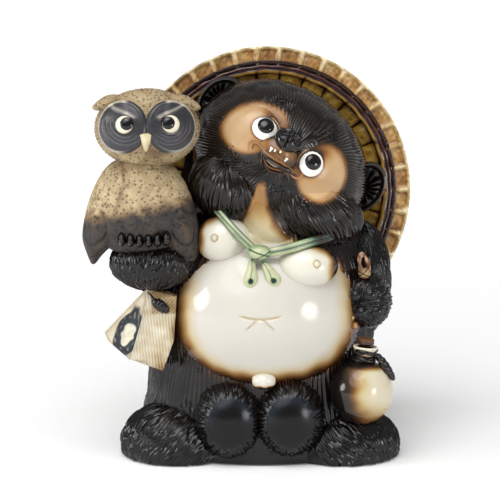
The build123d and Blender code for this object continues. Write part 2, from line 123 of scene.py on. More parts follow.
def clay_ball(name, around, rings, pole=(0, -1, 0), crowd=1):
    """A unit ball with its pole where the strokes start, each point's way round and its way down, in radians.

    Its rings crowd towards the pole where crowd is over 1.
    """
    ball, u, v = grid(name, around, rings)
    fall = math.pi * ((1 - v) / 2) ** crowd
    move_points(ball, thrown(np.sin(fall), math.pi * u, np.cos(fall)))
    bpy.ops.object.mode_set(mode="EDIT")
    bpy.ops.mesh.select_all(action="SELECT")
    bpy.ops.mesh.remove_doubles(threshold=0.00001)
    bpy.ops.object.mode_set(mode="OBJECT")
    raw = points_of(ball)
    turn = np.array(Vector((0, 0, 1)).rotation_difference(Vector(pole).normalized()).to_matrix())
    bpy.ops.object.shade_smooth()
    return ball, raw @ turn.T, np.arctan2(raw[:, 1], raw[:, 0]), np.arccos(np.clip(raw[:, 2], -1, 1))


def fur(way_round, way_down, reach, pitch, run, seed, sway=0.30, curl=0.8):
    """Combed strokes on a ball of size reach: 0 in the grooves, 1 on the ridges. Sizes are in mm."""
    rng = np.random.default_rng(seed)
    waves = sum(np.sin(way_round * turns + rng.uniform(0, 7)) for turns in (3, 7, 13, 23)) / 2
    rows = way_down * reach / run + sway * waves
    row = np.floor(rows)
    share = rows - row
    middle = np.clip((row + 0.5) * run / reach, 0.12, math.pi - 0.12)
    count = np.maximum(np.round(2 * math.pi * reach * np.sin(middle) / pitch), 8)
    bend = curl * np.sin(way_round * 6 + 2.4 * row) * share
    strands = way_round * count / (2 * math.pi) + 0.37 * row + bend
    ridge = 1 - np.abs(np.sin(math.pi * strands))
    tuft = np.abs(np.sin(math.pi * (strands / 5 + 0.3 * row)))
    ends = np.clip(5 * share, 0, 1) * np.clip(3.5 * (1 - share), 0, 1)
    return ridge * (0.35 + 0.65 * ends), 0.55 * tuft * ends + 0.45 * (1 - share)


def smooth(low, high, amount):
    share = np.clip((amount - low) / (high - low), 0, 1)
    return share * share * (3 - 2 * share)


def near(off, width):
    """1 where off is 0, falling away over the width."""
    return np.exp(-(off / width) ** 2)


def ripple(points, size, seed):
    """Uneven waves through the clay, about size mm long, from -1 to 1."""
    rng = np.random.default_rng(seed)
    total = 0
    for _ in range(7):
        way = rng.normal(size=3)
        way = way / np.linalg.norm(way) * 2 * math.pi * 1000 / (size * rng.uniform(0.7, 1.5))
        total = total + np.sin(points @ way + rng.uniform(0, 7))
    return total / 3.5


def linear(code):
    """The linear colour of an sRGB hex value."""
    values = [int(code[place:place + 2], 16) / 255 for place in (1, 3, 5)]
    return [value / 12.92 if value <= 0.04045 else ((value + 0.055) / 1.055) ** 2.4 for value in values]


def tint(piece, amount, stops):
    """Glaze colour at each point, from an amount and its stops of (amount, sRGB hex)."""
    colours = np.array([linear(code) for _, code in stops])
    spots = [spot for spot, _ in stops]
    rgba = np.ones((len(amount), 4), np.float32)
    for channel in range(3):
        rgba[:, channel] = np.interp(amount, spots, colours[:, channel])
    layers = piece.data.color_attributes
    layer = layers.get("glaze") or layers.new("glaze", "FLOAT_COLOR", "POINT")
    layer.data.foreach_set("color", rgba.ravel())


def shape(piece, points, amount, stops):
    """The piece's points in metres, and its glaze colour as tint takes it."""
    move_points(piece, points)
    tint(piece, amount, stops)


def add(material, kind, links=None, **settings):
    """One node of a material. Each named input takes a value, a socket, or a node's first output."""
    made = material.node_tree.nodes.new(kind)
    for name, value in settings.items():
        setattr(made, name, value)
    for name, source in (links or {}).items():
        if isinstance(source, bpy.types.Node):
            source = source.outputs[0]
        if isinstance(source, bpy.types.NodeSocket):
            material.node_tree.links.new(source, made.inputs[name])
        else:
            made.inputs[name].default_value = source
    return made


def join(pieces, name):
    """One object of several shapes of the same glaze."""
    bpy.ops.object.select_all(action="DESELECT")
    for piece in pieces:
        piece.select_set(True)
    bpy.context.view_layer.objects.active = pieces[0]
    bpy.ops.object.join()
    pieces[0].name = name
    return pieces[0]


def blank(name):
    """An empty material for a slot, and the place on the piece, in metres, that its patterns go by."""
    material = bpy.data.materials.new(name)
    material.use_nodes = True
    material.node_tree.nodes.clear()
    return material, add(material, "ShaderNodeTexCoord").outputs["Object"]


def coat(material, links):
    """The material's shader, from the inputs given."""
    shader = add(material, "ShaderNodeBsdfPrincipled", links)
    add(material, "ShaderNodeOutputMaterial", {"Surface": shader})


def fired(name, roughness, mottle, mottle_size, relief=0.05, relief_size=2.5, ior=1.5):
    """A fired glaze whose colour is in the glaze attribute, mottled by mottle_size mm, with relief in mm."""
    material, place = blank(name)
    colour = add(material, "ShaderNodeAttribute", attribute_name="glaze")
    cloud = add(material, "ShaderNodeTexNoise", {"Vector": place, "Scale": 1000 / mottle_size, "Detail": 4.0})
    level = add(material, "ShaderNodeMapRange", {
        "Value": cloud, "From Min": 0.3, "From Max": 0.7, "To Min": 1 - mottle, "To Max": 1 + mottle})
    shade = add(material, "ShaderNodeVectorMath", {0: colour, "Scale": level}, operation="SCALE")
    skin = add(material, "ShaderNodeTexNoise", {"Vector": place, "Scale": 1000 / relief_size, "Detail": 3.0})
    bump = add(material, "ShaderNodeBump", {"Height": skin, "Distance": relief / 1000, "Strength": 1.0})
    coat(material, {"Base Color": shade, "Roughness": roughness, "IOR": ior, "Normal": bump})
    return material


def finish(piece, material, *nodes):
    """The piece's glaze, its place in the frame and the solids that it stands for."""
    piece.data.materials.clear()
    piece.data.materials.append(material)
    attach(piece, "root")
    if nodes:
        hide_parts(*nodes)


# Black iron glaze over combed clay: glassy and near black where it is thick, brown where it runs thin
iron_glaze = fired("iron black glaze", roughness=0.13, mottle=0.25, mottle_size=9,
                   relief=0.12, relief_size=1.6, ior=1.42)
iron_stops = ((-1.0, "#20262f"), (0.0, "#0b0a0a"), (0.35, "#1b1411"), (0.6, "#4a2712"), (0.8, "#a06a2c"),
              (1.0, "#e2c792"))

belly = Form((2.3, -22, 88), (60, 49, 55))


def chest_share(points):
    """How much the cream glaze of the throat and the chest covers a place, by the front view in mm."""
    across, _, up = 1000 * points.T
    middle = np.interp(up, (128, 135, 143.5, 152, 165, 176), (2.5, -1.0, -3.5, -3.0, -1.5, -0.5))
    half = np.interp(up, (118, 128, 135, 143.5, 152, 165, 172), (34, 24, 15, 11, 7.0, 3.6, 2.2))
    level = smooth(106, 120, up) * smooth(176, 168, up)
    reach = (across - middle) / half
    edge = np.where(reach > 0, smooth(1.75, 0.60, reach), smooth(1.30, 0.65, -reach))
    return edge * level * smooth(0.0, -0.02, points[:, 1])


trunk, _, body_way, body_down = clay_ball("body_cast", body_around, body_rings, pole=(0, 0, 1))
level = body_down / math.pi
neck_at, foot_at, sill_at, inside_at = 0.06, 0.86, 0.90, 0.92       # shares of the way down where each begins
height = np.interp(level, (0, neck_at, foot_at, sill_at, inside_at, 1), (158, 158, 0, 0, 10, 140))
share = np.where(level > inside_at, np.sqrt(np.clip((1 - level) / (1 - inside_at), 0, 1)),
                 np.minimum(level / neck_at, 1))
inset = np.interp(level, (0, foot_at, sill_at, 1), (0, 0, body_wall, body_wall))
heights, *sizes = zip(*body_levels)
half_width, half_depth, shift = (np.interp(height, heights, size) for size in sizes)
ridge, tuft = fur(body_way, level * 3.2, reach=62, pitch=2.2, run=27, seed=3, curl=1.6)
outside = smooth(foot_at, foot_at - 0.02, level) * smooth(0.02, 0.08, level)
swell = outside * (0.75 * ridge + 0.9 * tuft - 0.8)


def trunk_points(grown, drawn_in=1):
    """Points of the trunk in metres, grown by mm and drawn in to a share."""
    wide, deep = (half_width + grown) * drawn_in, (half_depth + grown) * drawn_in
    return np.stack([wide * np.cos(body_way), deep * np.sin(body_way) + shift, height], axis=1) / 1000


swell = swell * (1 - chest_share(trunk_points(0)))
points = trunk_points(swell - inset, share)
thin = belly.beside(points, 4) * smooth(0.02, -0.01, points[:, 1])
chest = chest_share(points)
shape(trunk, points, 0.20 * ridge + 0.55 * thin * (0.25 + 0.75 * ridge) + 1.5 * chest,
      iron_stops + ((1.5, "#cdbf9f"),))
finish(trunk, iron_glaze, "body_shell")

# Floor of the trunk, a flat slab that was cut out round the drain hole and left without glaze
raw_clay, clay_place = blank("bare fired clay")
clay_cloud = add(raw_clay, "ShaderNodeTexNoise", {"Vector": clay_place, "Scale": 160.0, "Detail": 6.0})
clay_colour = add(raw_clay, "ShaderNodeMix", {
    "Factor": clay_cloud, "A": linear("#8a6a4a") + [1], "B": linear("#b8966e") + [1]}, data_type="RGBA")
clay_bump = add(raw_clay, "ShaderNodeBump", {"Height": clay_cloud, "Distance": 0.0002})
coat(raw_clay, {"Base Color": clay_colour.outputs["Result"], "Roughness": 0.9, "Normal": clay_bump})
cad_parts["base_floor"].data.materials.clear()
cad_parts["base_floor"].data.materials.append(raw_clay)

# Belly, a smooth dome under cream feldspar glaze. Brown and black glaze were sprayed over its edge, and
# short strokes of fur were drawn from the edge outwards.
cream_glaze = fired("cream feldspar glaze", roughness=0.13, mottle=0.03, mottle_size=30,
                    relief=0.06, relief_size=6)
cream_stops = ((0.0, "#0e0c0b"), (0.22, "#24150d"), (0.42, "#5c3a1e"), (0.60, "#a07a4a"), (0.78, "#c6b48e"),
               (1.0, "#cbc7bd"))
dome, shares, way, down = clay_ball("belly_dome", 480, 100, crowd=1.5)
points = belly.place(shares)
across, _, up = 1000 * points.T
flank = np.abs(across - 3.0) / 57.0
rise = np.abs(up - 92.0) / np.where(up > 92.0, 60.0, 41.0)
inside = 48 * (1 - (flank ** 2.5 + rise ** 2.5) ** 0.4) + 0.8 * ripple(points, 14, 5)
ridge, tuft = fur(way, down, reach=55, pitch=2.0, run=12, seed=8, sway=0.5)
rim = smooth(4, -1, inside)
across, up = across + 1.2, up - 94.2
crease = near(up + 2.4 - 0.012 * across ** 2, 0.7) * smooth(14.0, 9.5, np.abs(across))
for side in (-1, 1):
    along = side * across
    fold = near(up + 3.0 + 0.9 * (along - 2.0), 0.6) * smooth(1.0, 2.2, along) * smooth(9.2, 7.2, along)
    crease = crease + 0.8 * fold
crease = np.clip(crease, 0, 1)
swell = rim * (0.7 * ridge + 0.5 * tuft - 0.5) - 1.2 * crease
points = points + belly.outward(shares) * swell[:, None] / 1000
shape(dome, points, smooth(-7, 15, inside + 1.5 * (ridge - 0.4) * rim) - 0.22 * crease, cream_stops)
finish(dome, cream_glaze, "belly_dome")

# Breasts with their buds, and the throat: smooth pads under the same cream glaze, shaded with brown where
# the black fur begins
chest_stops = ((0.0, "#15100d"), (0.25, "#362213"), (0.5, "#7f5a31"), (0.72, "#bda274"), (0.88, "#d3cbb6"),
               (1.0, "#d8d4c6"))
breast_left = Form((-23.4, -41.8, 135.6), (17, 15, 14.5))
breast_right = Form((26.1, -52.2, 120.7), (19, 14, 13))
buds = []
for name, breast, spot, edge_side in (("chest_left", breast_left, (-0.30, 0.20), -1),
                                      ("chest_right", breast_right, (0.31, 0.28), 1)):
    pad, shares, *_ = clay_ball(name, 140, 64)
    points = breast.place(shares)
    move_points(pad, points)
    side = edge_side * shares[:, 0]
    low = smooth(0.62, 1.15, shares[:, 2] * 0.8 + side * 0.5)
    dark = smooth(0.52, 1.05, side + 0.03 * ripple(points, 14, 4)) + 0.9 * low
    tint(pad, 1 - np.clip(dark, 0, 1), chest_stops)
    finish(pad, cream_glaze, name)
    bud = breast.carry(spot[0], spot[1], (3.4, 3.4, 3.4), 1.8)
    tip, shares, *_ = clay_ball(name + "_bud", 48, 40)
    across = np.hypot(shares[:, 0], shares[:, 2])
    shares[:, 1] = shares[:, 1] * (0.80 + 0.35 * near(across, 0.42)) + 0.12 * near(across - 0.62, 0.10)
    shape(tip, bud.place(shares), 0.97 - 0.30 * near(across - 0.62, 0.13) - 0.16 * smooth(0.8, 1.0, across),
          chest_stops)
    buds.append(tip)
finish(join(buds, "chest_buds"), cream_glaze, "chest_buds")

throat_stops = ((0.0, "#130d0a"), (0.3, "#3a2210"), (0.55, "#7a4f24"), (0.78, "#b1925c"), (1.0, "#cfc19d"))
throat = Form((5.0, -37.5, 149.0), (20, 13, 28), (0, -8, 0))
strip, shares, way, down = clay_ball("throat_strip", 220, 96, pole=(0, -1, 0.3))
points = throat.place(shares)
light = chest_share(points + 0.001 * ripple(points, 9, 9)[:, None] * np.array((1, 0, 0)))
ridge, tuft = fur(way, down, reach=20, pitch=1.9, run=14, seed=10, curl=0.6)
combed = smooth(0.55, 0.15, light)
points = throat.place(shares * (1 + 0.035 * combed * (ridge + tuft - 1))[:, None])
shape(strip, points, light * (0.71 + 0.29 * smooth(156, 140, 1000 * points[:, 2])) + 0.12 * combed * ridge,
      throat_stops)
finish(strip, cream_glaze, "throat_strip")

# Stub under the belly and the two lucky pouches, whose smooth bulges carry strokes round their edges
stub = Form((0.9, -59.7, 52.9), (7.5, 7, 5.5))
knob, shares, *_ = clay_ball("belly_stub", 72, 48)
points = stub.place(shares)
pale = smooth(-0.85, -0.25, shares[:, 2] + 0.08 * ripple(points, 5, 2))
pale = pale * smooth(1.05, 0.85, np.abs(shares[:, 0]))
shape(knob, points, pale, chest_stops)
finish(knob, cream_glaze, "belly_stub")

head = Form((11, -12, 180), (57, 45, 46.5), (0, 35, 0))


def tan_share(points):
    """How much of the tan slip shows through the black spray on the face, by the place in the rolled head."""
    shares = head.shares(points)
    across, _, up = (1000 * head.half * shares).T
    total = 0
    for middle, half, roll in (((-25.4, 10.4), (22.5, 16.0), 45), ((20.8, 11.0), (17.0, 19.0), 35),
                               ((-2, 5.5), (14, 8.5), 0)):
        turn = math.radians(roll)
        along = (across - middle[0]) * math.cos(turn) + (up - middle[1]) * math.sin(turn)
        over = (up - middle[1]) * math.cos(turn) - (across - middle[0]) * math.sin(turn)
        reach = np.hypot(along / half[0], over / half[1])
        total = np.maximum(total, smooth(1.14, 0.74, reach))
    return total * smooth(0.2, -0.2, shares[:, 1])


eye_left = head.carry(-0.37, 0.27, (9.4, 8, 8.2), 3.0)
eye_right = head.carry(0.235, 0.255, (8.6, 8, 9.0), 3.0)
mouth = Form((8.0, -62, 182.5), (13, 9, 4.6), (0, 33, 0))


def face_tone(points):
    """Tan of the face at points, darker beside the eyes and round the mouth."""
    tone = tan_share(points)
    for eye, side in ((eye_left, 1), (eye_right, -1)):
        off = 1000 * (points - eye.centre) @ head.turn
        inner = smooth(-3, 6, 0.75 * side * off[:, 0] + 0.65 * off[:, 2])
        tone = tone - (0.10 + 0.48 * inner) * eye.beside(points, 7.5, 1.5) - 0.35 * eye.beside(points, 0.9, 2)
    return np.clip(tone - 0.36 * mouth.beside(points, 5.0, 1.5) + 0.04 * ripple(points, 18, 6), 0, 1)


def furred(name, form, pole, seed, mesh, pitch, run, depth, curl=0.8, sway=0.3, dark=0.20, start=0.0):
    """A ball of combed clay: the ball, its points and shares, the way down, and how light its ridges are.

    The mesh is its steps round and down. The pitch, run and depth of the strokes are in mm, and start is the
    angle from the pole where they begin.
    """
    ball, shares, way, down = clay_ball(name, *mesh, pole)
    reach = 1000 * form.half.mean()
    ridge, tuft = fur(way, down, reach, pitch, run, seed, sway, curl)
    combed = smooth(start - 0.12, start + 0.18, down) if start else 1
    bare = np.maximum(chest_share(form.place(shares)), smooth(0.35, 0.75, tan_share(form.place(shares))))
    swell = combed * (depth * ridge + 1.1 * depth * tuft - depth) * (1 - bare)
    points = form.place(shares) + form.outward(shares) * swell[:, None] / 1000
    points[:, 2] = np.maximum(points[:, 2], 0.0003)
    move_points(ball, points)
    return ball, points, shares, down, combed * ridge * dark


pouch_left = Form((-19.5, -52.2, 26.9), (21.5, 17, 24))
pouch_right = Form((16.4, -53.4, 28.4), (21.5, 17, 24))
pooled_glaze = fired("pooled iron black glaze", roughness=0.22, mottle=0.25, mottle_size=9,
                     relief=0.10, relief_size=4, ior=1.36)
for name, form, seed in (("luck_pouch_left", pouch_left, 21), ("luck_pouch_right", pouch_right, 22)):
    pouch, points, shares, down, ridge = furred(name, form, (0, -1, 0.05), seed, (360, 60), 2.4, 22, 1.0,
                                                curl=1.0, start=0.74)
    thin = belly.beside(points, 5)
    # Blue-grey band across the upper bulge: blue glaze pooled thick there, and partly a painted highlight.
    thick = near(down - 0.60, 0.16) * smooth(-0.3, 0.4, shares[:, 2])
    tint(pouch, ridge + 0.6 * thin * (0.4 + 3 * ridge) - 0.7 * thick, iron_stops)
    finish(pouch, pooled_glaze, name)

# Feet and tail, low combed mounds that carry the figure
foot_left = Form((-51.5, -29, 7.9), (36, 34, 25))
foot_right = Form((49.1, -29, 6.3), (36, 34, 25))
tail = Form((-7.8, 49.9, 26.9), (23, 22, 33), (0, 8, 0))
for name, form, pole, seed in (("foot_left", foot_left, (0.75, 0.25, 1.1), 31),
                               ("foot_right", foot_right, (-0.75, 0.25, 1.1), 32),
                               ("tail", tail, (0, -0.3, 1), 33)):
    mound, points, _, _, ridge = furred(name, form, pole, seed, (460, 56), 2.2, 15, 1.0, curl=1.3, sway=0.4)
    tint(mound, ridge * (1 + 0.5 * ripple(points, 20, seed)), iron_stops)
    finish(mound, iron_glaze, name)

# Arms and paws: one paw lies flat under the owl, the other closes round the bottle's rope
perch_arm = Form((-62.4, -20.9, 117.7), (18, 25, 21))
bottle_arm = Form((62, -11, 106), (18, 23, 36))
perch_paw = Form((-66.5, -41.8, 121.7), (25.5, 21, 17))
bottle_paw = Form((64, -36, 97), (15, 14, 17))
limbs = {}
for name, form, pole, pitch, run, depth, seed in (
        ("perch_arm", perch_arm, (0.2, 0.2, 1), 2.0, 14, 0.8, 41),
        ("perch_paw", perch_paw, (0.1, 0.2, 1), 1.9, 13, 0.7, 42),
        ("bottle_arm", bottle_arm, (-0.2, -0.1, 1), 1.9, 17, 0.8, 43),
        ("bottle_paw", bottle_paw, (-0.5, -1, 0.1), 1.9, 9, 0.7, 44)):
    limb, points, _, _, ridge = furred(name, form, pole, seed, (360, 56), pitch, run, depth, curl=1.2,
                                       sway=0.4)
    thin = np.maximum(belly.beside(points, 4), breast_right.beside(points, 4))
    tint(limb, ridge + 0.45 * thin * (0.3 + 4 * ridge), iron_stops)
    finish(limb, iron_glaze, name)
    limbs[name] = limb

# Finger pads of the closed paw, and the ends of its fingers in thin brown glaze beside the belly
pads = []
for across, depth, up, size in ((56.4, -47.5, 102.0, 3.6), (65.0, -48.5, 102.6, 4.2),
                                (69.0, -47.6, 92.4, 4.4), (60.0, -49.0, 92.0, 3.8)):
    pad, shares, _, down = clay_ball("finger_pad", 56, 40)
    groove = near(down - 1.0, 0.12)
    points = Form((across, depth, up), (size, 3.2, size * 0.9)).place(shares * (1 - 0.14 * groove)[:, None])
    shape(pad, points, -0.3 * (1 - groove), iron_stops)
    pads.append(pad)
for across, depth, up in ((52.3, -43.5, 93.5), (53.6, -43.6, 88.4), (55.6, -43.8, 83.4)):
    pad, shares, *_ = clay_ball("finger_end", 40, 28)
    points = Form((across, depth, up), (2.6, 3.0, 2.4)).place(shares)
    shape(pad, points, 0.72 + 0.25 * ripple(points, 4, 46), iron_stops)
    pads.append(pad)
finish(join(pads, "finger_pads"), iron_glaze)

# Head cast, rolled to one side, and its two jowls. The fur is combed outwards from the face in rows, and
# the tan of the face comes through the black glaze round the eyes.
jowl_left = Form((-20.5, -31, 165.5), (25, 25, 20.5), (0, 35, 0))
jowl_right = Form((30.5, -33, 153.5), (32, 25, 19.5), (0, 24, 0))
patch_left = head.carry(-0.46, 0.14, (20, 9, 18.5), 6.5)
patch_right = head.carry(0.35, 0.25, (20, 9, 18.5), 6.5)
face_stops = ((0.0, "#0b0a0b"), (0.25, "#1e1813"), (0.45, "#46301b"), (0.62, "#84572c"), (0.80, "#a9814f"),
              (1.0, "#c0a078"))

skull, points, _, _, ridge = furred("head_cast", head, (-0.05, -1, 0.12), 51, (760, 60), 1.75, 19, 0.75,
                                    curl=0.9, sway=0.22, dark=0.42)
light = np.maximum(face_tone(points), 0.76 * chest_share(points))
tint(skull, np.clip(np.maximum(ridge * (1 - light), light), 0, 1), face_stops)
finish(skull, iron_glaze, "head_shell")
cheeks = []
for name, form, pole, seed in (("jowl_left", jowl_left, (-0.49, -0.50, 0.88), 52),
                               ("jowl_right", jowl_right, (-0.73, -0.50, 0.77), 53)):
    jowl, points, shares, _, ridge = furred(name, form, pole, seed, (380, 60), 2.1, 38, 1.0, curl=1.2,
                                            dark=0.36)
    fillet = patch_right.beside(points, 3.0) * smooth(0.3, 0.7, tan_share(points))
    points = points + (form.place(shares * 1.04) - form.place(shares)) * fillet[:, None]
    move_points(jowl, points)
    light = np.maximum(face_tone(points), 0.78 * chest_share(points))
    tint(jowl, np.clip(np.maximum(ridge * (1 - light), light), 0, 1), face_stops)
    finish(jowl, iron_glaze, name)
    cheeks.append(jowl)

# Face: two tan cheeks laid on the head and a small muzzle, in tan slip under clear glaze, sprayed black at
# the edge and rubbed darker round the eyes and the mouth
tan_slip = fired("tan slip under clear glaze", roughness=0.22, mottle=0.05, mottle_size=8,
                 relief=0.08, relief_size=1.2)
muzzle = head.carry(-0.12, 0.14, (13.5, 11, 11.5), 4.5)
faces = [skull]
for name, form in (("face_patch_left", patch_left), ("face_patch_right", patch_right), ("muzzle", muzzle)):
    pad, shares, way, down = clay_ball(name, 220, 80)
    points = form.place(shares)
    tone = face_tone(points)
    ridge, tuft = fur(way, down, reach=17, pitch=1.9, run=13, seed=54, curl=0.7)
    combed = smooth(0.42, 0.12, tone)
    fillet = 0.045 * jowl_right.beside(points, 3.0) * (1 - combed) if name == "face_patch_right" else 0
    points = form.place(shares * (1 + 0.045 * combed * (ridge + 0.6 * tuft - 0.9) + fillet)[:, None])
    if name == "muzzle":
        bridge = np.exp(-((1000 * points[:, 0] - 13) / 6) ** 2 - ((1000 * points[:, 2] - 190) / 5) ** 2)
        points[:, 1] = points[:, 1] - 0.0008 * bridge
    shape(pad, points, tone + 0.30 * combed * ridge, face_stops)
    finish(pad, tan_slip, name)
    faces.append(pad)

# Eyes: white glazed balls in a thin dark line and a lid of tan clay, with gloss black pupils that look up
white_glaze = fired("glossy white glaze", roughness=0.06, mottle=0.02, mottle_size=20,
                    relief=0.01, relief_size=3)
pupil_glaze = fired("glossy black eye glaze", roughness=0.05, mottle=0.02, mottle_size=20,
                    relief=0.01, relief_size=3)
balls = []
pupils = []
lids = []
for eye, spot in ((eye_left, (0.04, 0.26)), (eye_right, (-0.13, 0.15))):
    ball, shares, _, down = clay_ball("eyeball", 64, 48)
    shape(ball, eye.place(shares), 1 - smooth(1.18, 1.42, down), ((0, "#b9ab8f"), (1, "#f7f5ee")))
    balls.append(ball)
    pupil = eye.carry(spot[0], spot[1], (5.0, 2.6, 4.8), 0.9)
    dot, shares, _, down = clay_ball("pupil", 64, 48)
    shape(dot, pupil.place(shares), down, ((0, "#060606"), (3, "#0a0a0b")))
    pupils.append(dot)
    for reach, radius, lift, code in ((0.965, 0.0007, 0.0009, "#2a1a12"), (1.06, 0.0008, 0.0002, "#a87a45")):
        bpy.ops.mesh.primitive_torus_add(major_segments=72, minor_segments=10, major_radius=1,
                                         minor_radius=0.5)
        lid = bpy.context.object
        ring = points_of(lid)
        angle = np.arctan2(ring[:, 1], ring[:, 0])
        out = (np.hypot(ring[:, 0], ring[:, 1]) - 1) * 2 * radius
        width = eye.half[0] * reach * 0.955 + out
        tall = eye.half[2] * reach * 0.955 + out
        local = np.stack([width * np.cos(angle), -eye.half[1] * 0.30 - lift + 2 * radius * ring[:, 2],
                          tall * np.sin(angle)], axis=1)
        move_points(lid, local @ eye.turn.T + eye.centre)
        bpy.ops.object.shade_smooth()
        tint(lid, angle, ((0, code),))
        lids.append(lid)

finish(join(balls, "eyeballs"), white_glaze, "eyeballs")
finish(join(pupils, "pupils"), pupil_glaze, "pupils")
finish(join(lids, "eyelid_rings"), tan_slip)

# Nose, a black blob with a curled nostril drawn on each side of an S-shaped groove
nose = muzzle.carry(0.05, 0.68, (8.4, 6.2, 7.4), -2.0)
blob, shares, *_ = clay_ball("nose", 150, 90)
across = shares[:, 0]
up = shares[:, 2]
dig = near(across - 0.10 * np.sin(3.5 * up), 0.075) * smooth(0.75, 0.45, up)
for side in (-1, 1):
    reach = np.hypot((across - side * 0.50) / 1.0, (up + 0.02) / 1.15)
    dig = dig + near(reach - 0.10, 0.10) + 0.8 * near(reach - 0.36, 0.07)
dig = dig + 0.6 * near(np.hypot(across, up - 0.1) - 0.80, 0.06) * smooth(0.2, 0.5, up)
dig = np.clip(dig, 0, 1) * smooth(0.3, -0.1, shares[:, 1])
points = nose.place(shares * (1 - 0.24 * dig)[:, None])
shape(blob, points, 0.12 * (1 - dig), face_stops)
finish(blob, pupil_glaze, "nose")
faces.append(blob)


# Mouth: a dark hollow between two rolled lips, with curled corners, four teeth and a grey stripe on the
# tongue, a painted highlight
def front_of(carriers):
    """The front of some pieces: gives the depth at a place across and up, in metres."""
    trees = [BVHTree.FromObject(carrier, bpy.context.evaluated_depsgraph_get()) for carrier in carriers]

    def depth(across, up):
        start = Vector((across, -0.2, up))
        hits = [tree.ray_cast(start, Vector((0, 1, 0)))[0] for tree in trees]
        return min((hit[1] for hit in hits if hit), default=0)
    return depth


def string(name, spots, radius, depth=None, lift=0.0, ends=0.35, colour="#c79d63"):
    """A rolled string of clay through spots in mm, across and up on the clay behind it or free in the air."""
    line = bpy.data.curves.new(name, "CURVE")
    line.dimensions = "3D"
    line.bevel_depth = radius / 1000
    line.bevel_resolution = 2
    line.use_fill_caps = True
    spline = line.splines.new("NURBS")
    spline.points.add(len(spots) - 1)
    for index, spot in enumerate(spots):
        place = [size / 1000 for size in spot]
        if len(place) == 2:
            place.insert(1, depth(*place) - lift / 1000)
        spline.points[index].co = (*place, 1)
        spline.points[index].radius = ends if index in (0, len(spots) - 1) else 1
    spline.order_u = 3
    spline.use_endpoint_u = True
    spline.resolution_u = 5
    piece = bpy.data.objects.new(name, line)
    bpy.context.scene.collection.objects.link(piece)
    bpy.ops.object.select_all(action="DESELECT")
    piece.select_set(True)
    bpy.context.view_layer.objects.active = piece
    bpy.ops.object.convert(target="MESH")
    piece = bpy.context.object
    bpy.ops.object.shade_smooth()
    tint(piece, points_of(piece)[:, 0], ((0, colour),))
    return piece


on_face = front_of(faces + cheeks)
hollow, shares, _, down = clay_ball("mouth_hollow", 96, 64)
depth = on_face(0.0095, 0.1825)
cavity = Form((8.8, 1000 * depth + 1.4, 183.2), (9.6, 2.3, 2.3), (0, 33, 0))
shape(hollow, cavity.place(shares), down, ((0, "#1d100a"),))
finish(hollow, pupil_glaze)
lips = [string(name, spots, radius, on_face, lift, colour=colour) for name, radius, lift, colour, spots in (
        ("upper_lip", 0.75, 0.3, "#87592a", ((-5.8, 191.2), (-6.2, 193.4), (-4.6, 195.0), (-2.0, 194.2),
          (0.9, 190.7), (3.5, 188.2), (6.9, 186.5), (10.3, 184.8), (13.6, 182.1), (17.0, 179.4),
          (20.4, 176.8))),
        ("left_curl", 0.6, 0.1, "#a8774a", ((-8.3, 190.2), (-8.4, 193.6), (-6.9, 196.4), (-3.8, 197.3),
          (-0.5, 196.2))),
        ("middle_ridge", 0.4, 0.9, "#875a28", ((3.0, 185.8), (7.6, 182.9), (11.6, 181.2), (15.7, 179.5))),
        ("right_curl", 0.65, 0.2, "#a8774a", ((16.3, 176.6), (18.4, 174.6), (21.3, 174.0), (23.6, 175.9),
          (23.4, 178.0))),
        ("right_corner", 0.55, 0.3, "#7a4a22", ((18.6, 178.0), (20.6, 176.2), (22.4, 176.8),
          (21.4, 179.4))),
        ("lip_crease", 0.4, 0.0, "#8f7a66", ((-0.8, 189.0), (-0.6, 186.5), (-0.7, 183.5))),
        ("nose_crease", 0.45, 0.2, "#8f6233", ((11.6, 192.4), (13.0, 189.0), (14.0, 186.0))))]
finish(join(lips, "upper_lip"), tan_slip)
brown_glaze = fired("red brown iron glaze", roughness=0.15, mottle=0.25, mottle_size=5,
                    relief=0.06, relief_size=1.5)
lower = string("lower_lip", ((0.6, 186.8), (1.4, 183.8), (3.8, 181.2), (7.2, 179.9), (11.9, 179.2),
                             (16.2, 178.6)), 0.85, on_face, 0.4, colour="#6b421e")
chin = string("chin", ((0.9, 183.0), (3.0, 179.3), (7.0, 177.6), (12.4, 177.2)), 1.4, on_face, 0.1,
              colour="#2f190f")
finish(join([lower, chin], "lower_lip"), brown_glaze, "lower_lip")
# A grey string along the tongue's edge: a painted highlight.
tongue = string("tongue_highlight", ((2.4, 185.6), (4.4, 183.4), (7.0, 181.9), (10.4, 180.9)), 0.42, on_face,
                0.9, colour="#8d8f96")
finish(tongue, white_glaze)
dark_teeth = [string("tooth_line", (spot, (spot[0] + 0.9, spot[1] - 2.6)), 0.45, on_face, 0.5,
                     colour="#120b08")
              for spot in ((6.0, 192.0), (8.3, 191.8), (9.4, 190.6), (11.2, 189.8), (12.6, 187.4))]
finish(join(dark_teeth, "tooth_lines"), pupil_glaze)
teeth = []
for place, size in (((4.8, 191.6), 1.3), ((7.1, 191.0), 0.8), ((10.3, 190.3), 0.8), ((13.5, 185.7), 1.2)):
    bpy.ops.mesh.primitive_cone_add(vertices=24, radius1=size / 1000, radius2=0.0002,
                                    depth=2.2 * size / 1000, rotation=(math.pi, 0, 0))
    bpy.ops.object.transform_apply(location=False, rotation=True, scale=False)
    tooth = bpy.context.object
    rounding = tooth.modifiers.new("rounding", "BEVEL")
    rounding.width = 0.0003
    rounding.segments = 2
    bpy.ops.object.modifier_apply(modifier="rounding")
    bpy.ops.object.shade_smooth()
    place = Vector((place[0] / 1000, on_face(place[0] / 1000, place[1] / 1000) - 0.0002, place[1] / 1000))
    points = points_of(tooth) * np.array((1, 0.7, 1))
    turn = np.array(Euler((math.radians(-20), math.radians(35), 0)).to_matrix())
    shape(tooth, points @ turn.T + np.array(place), points[:, 0], ((0, "#f4efe0"),))
    teeth.append(tooth)
finish(join(teeth, "teeth"), white_glaze, "teeth")

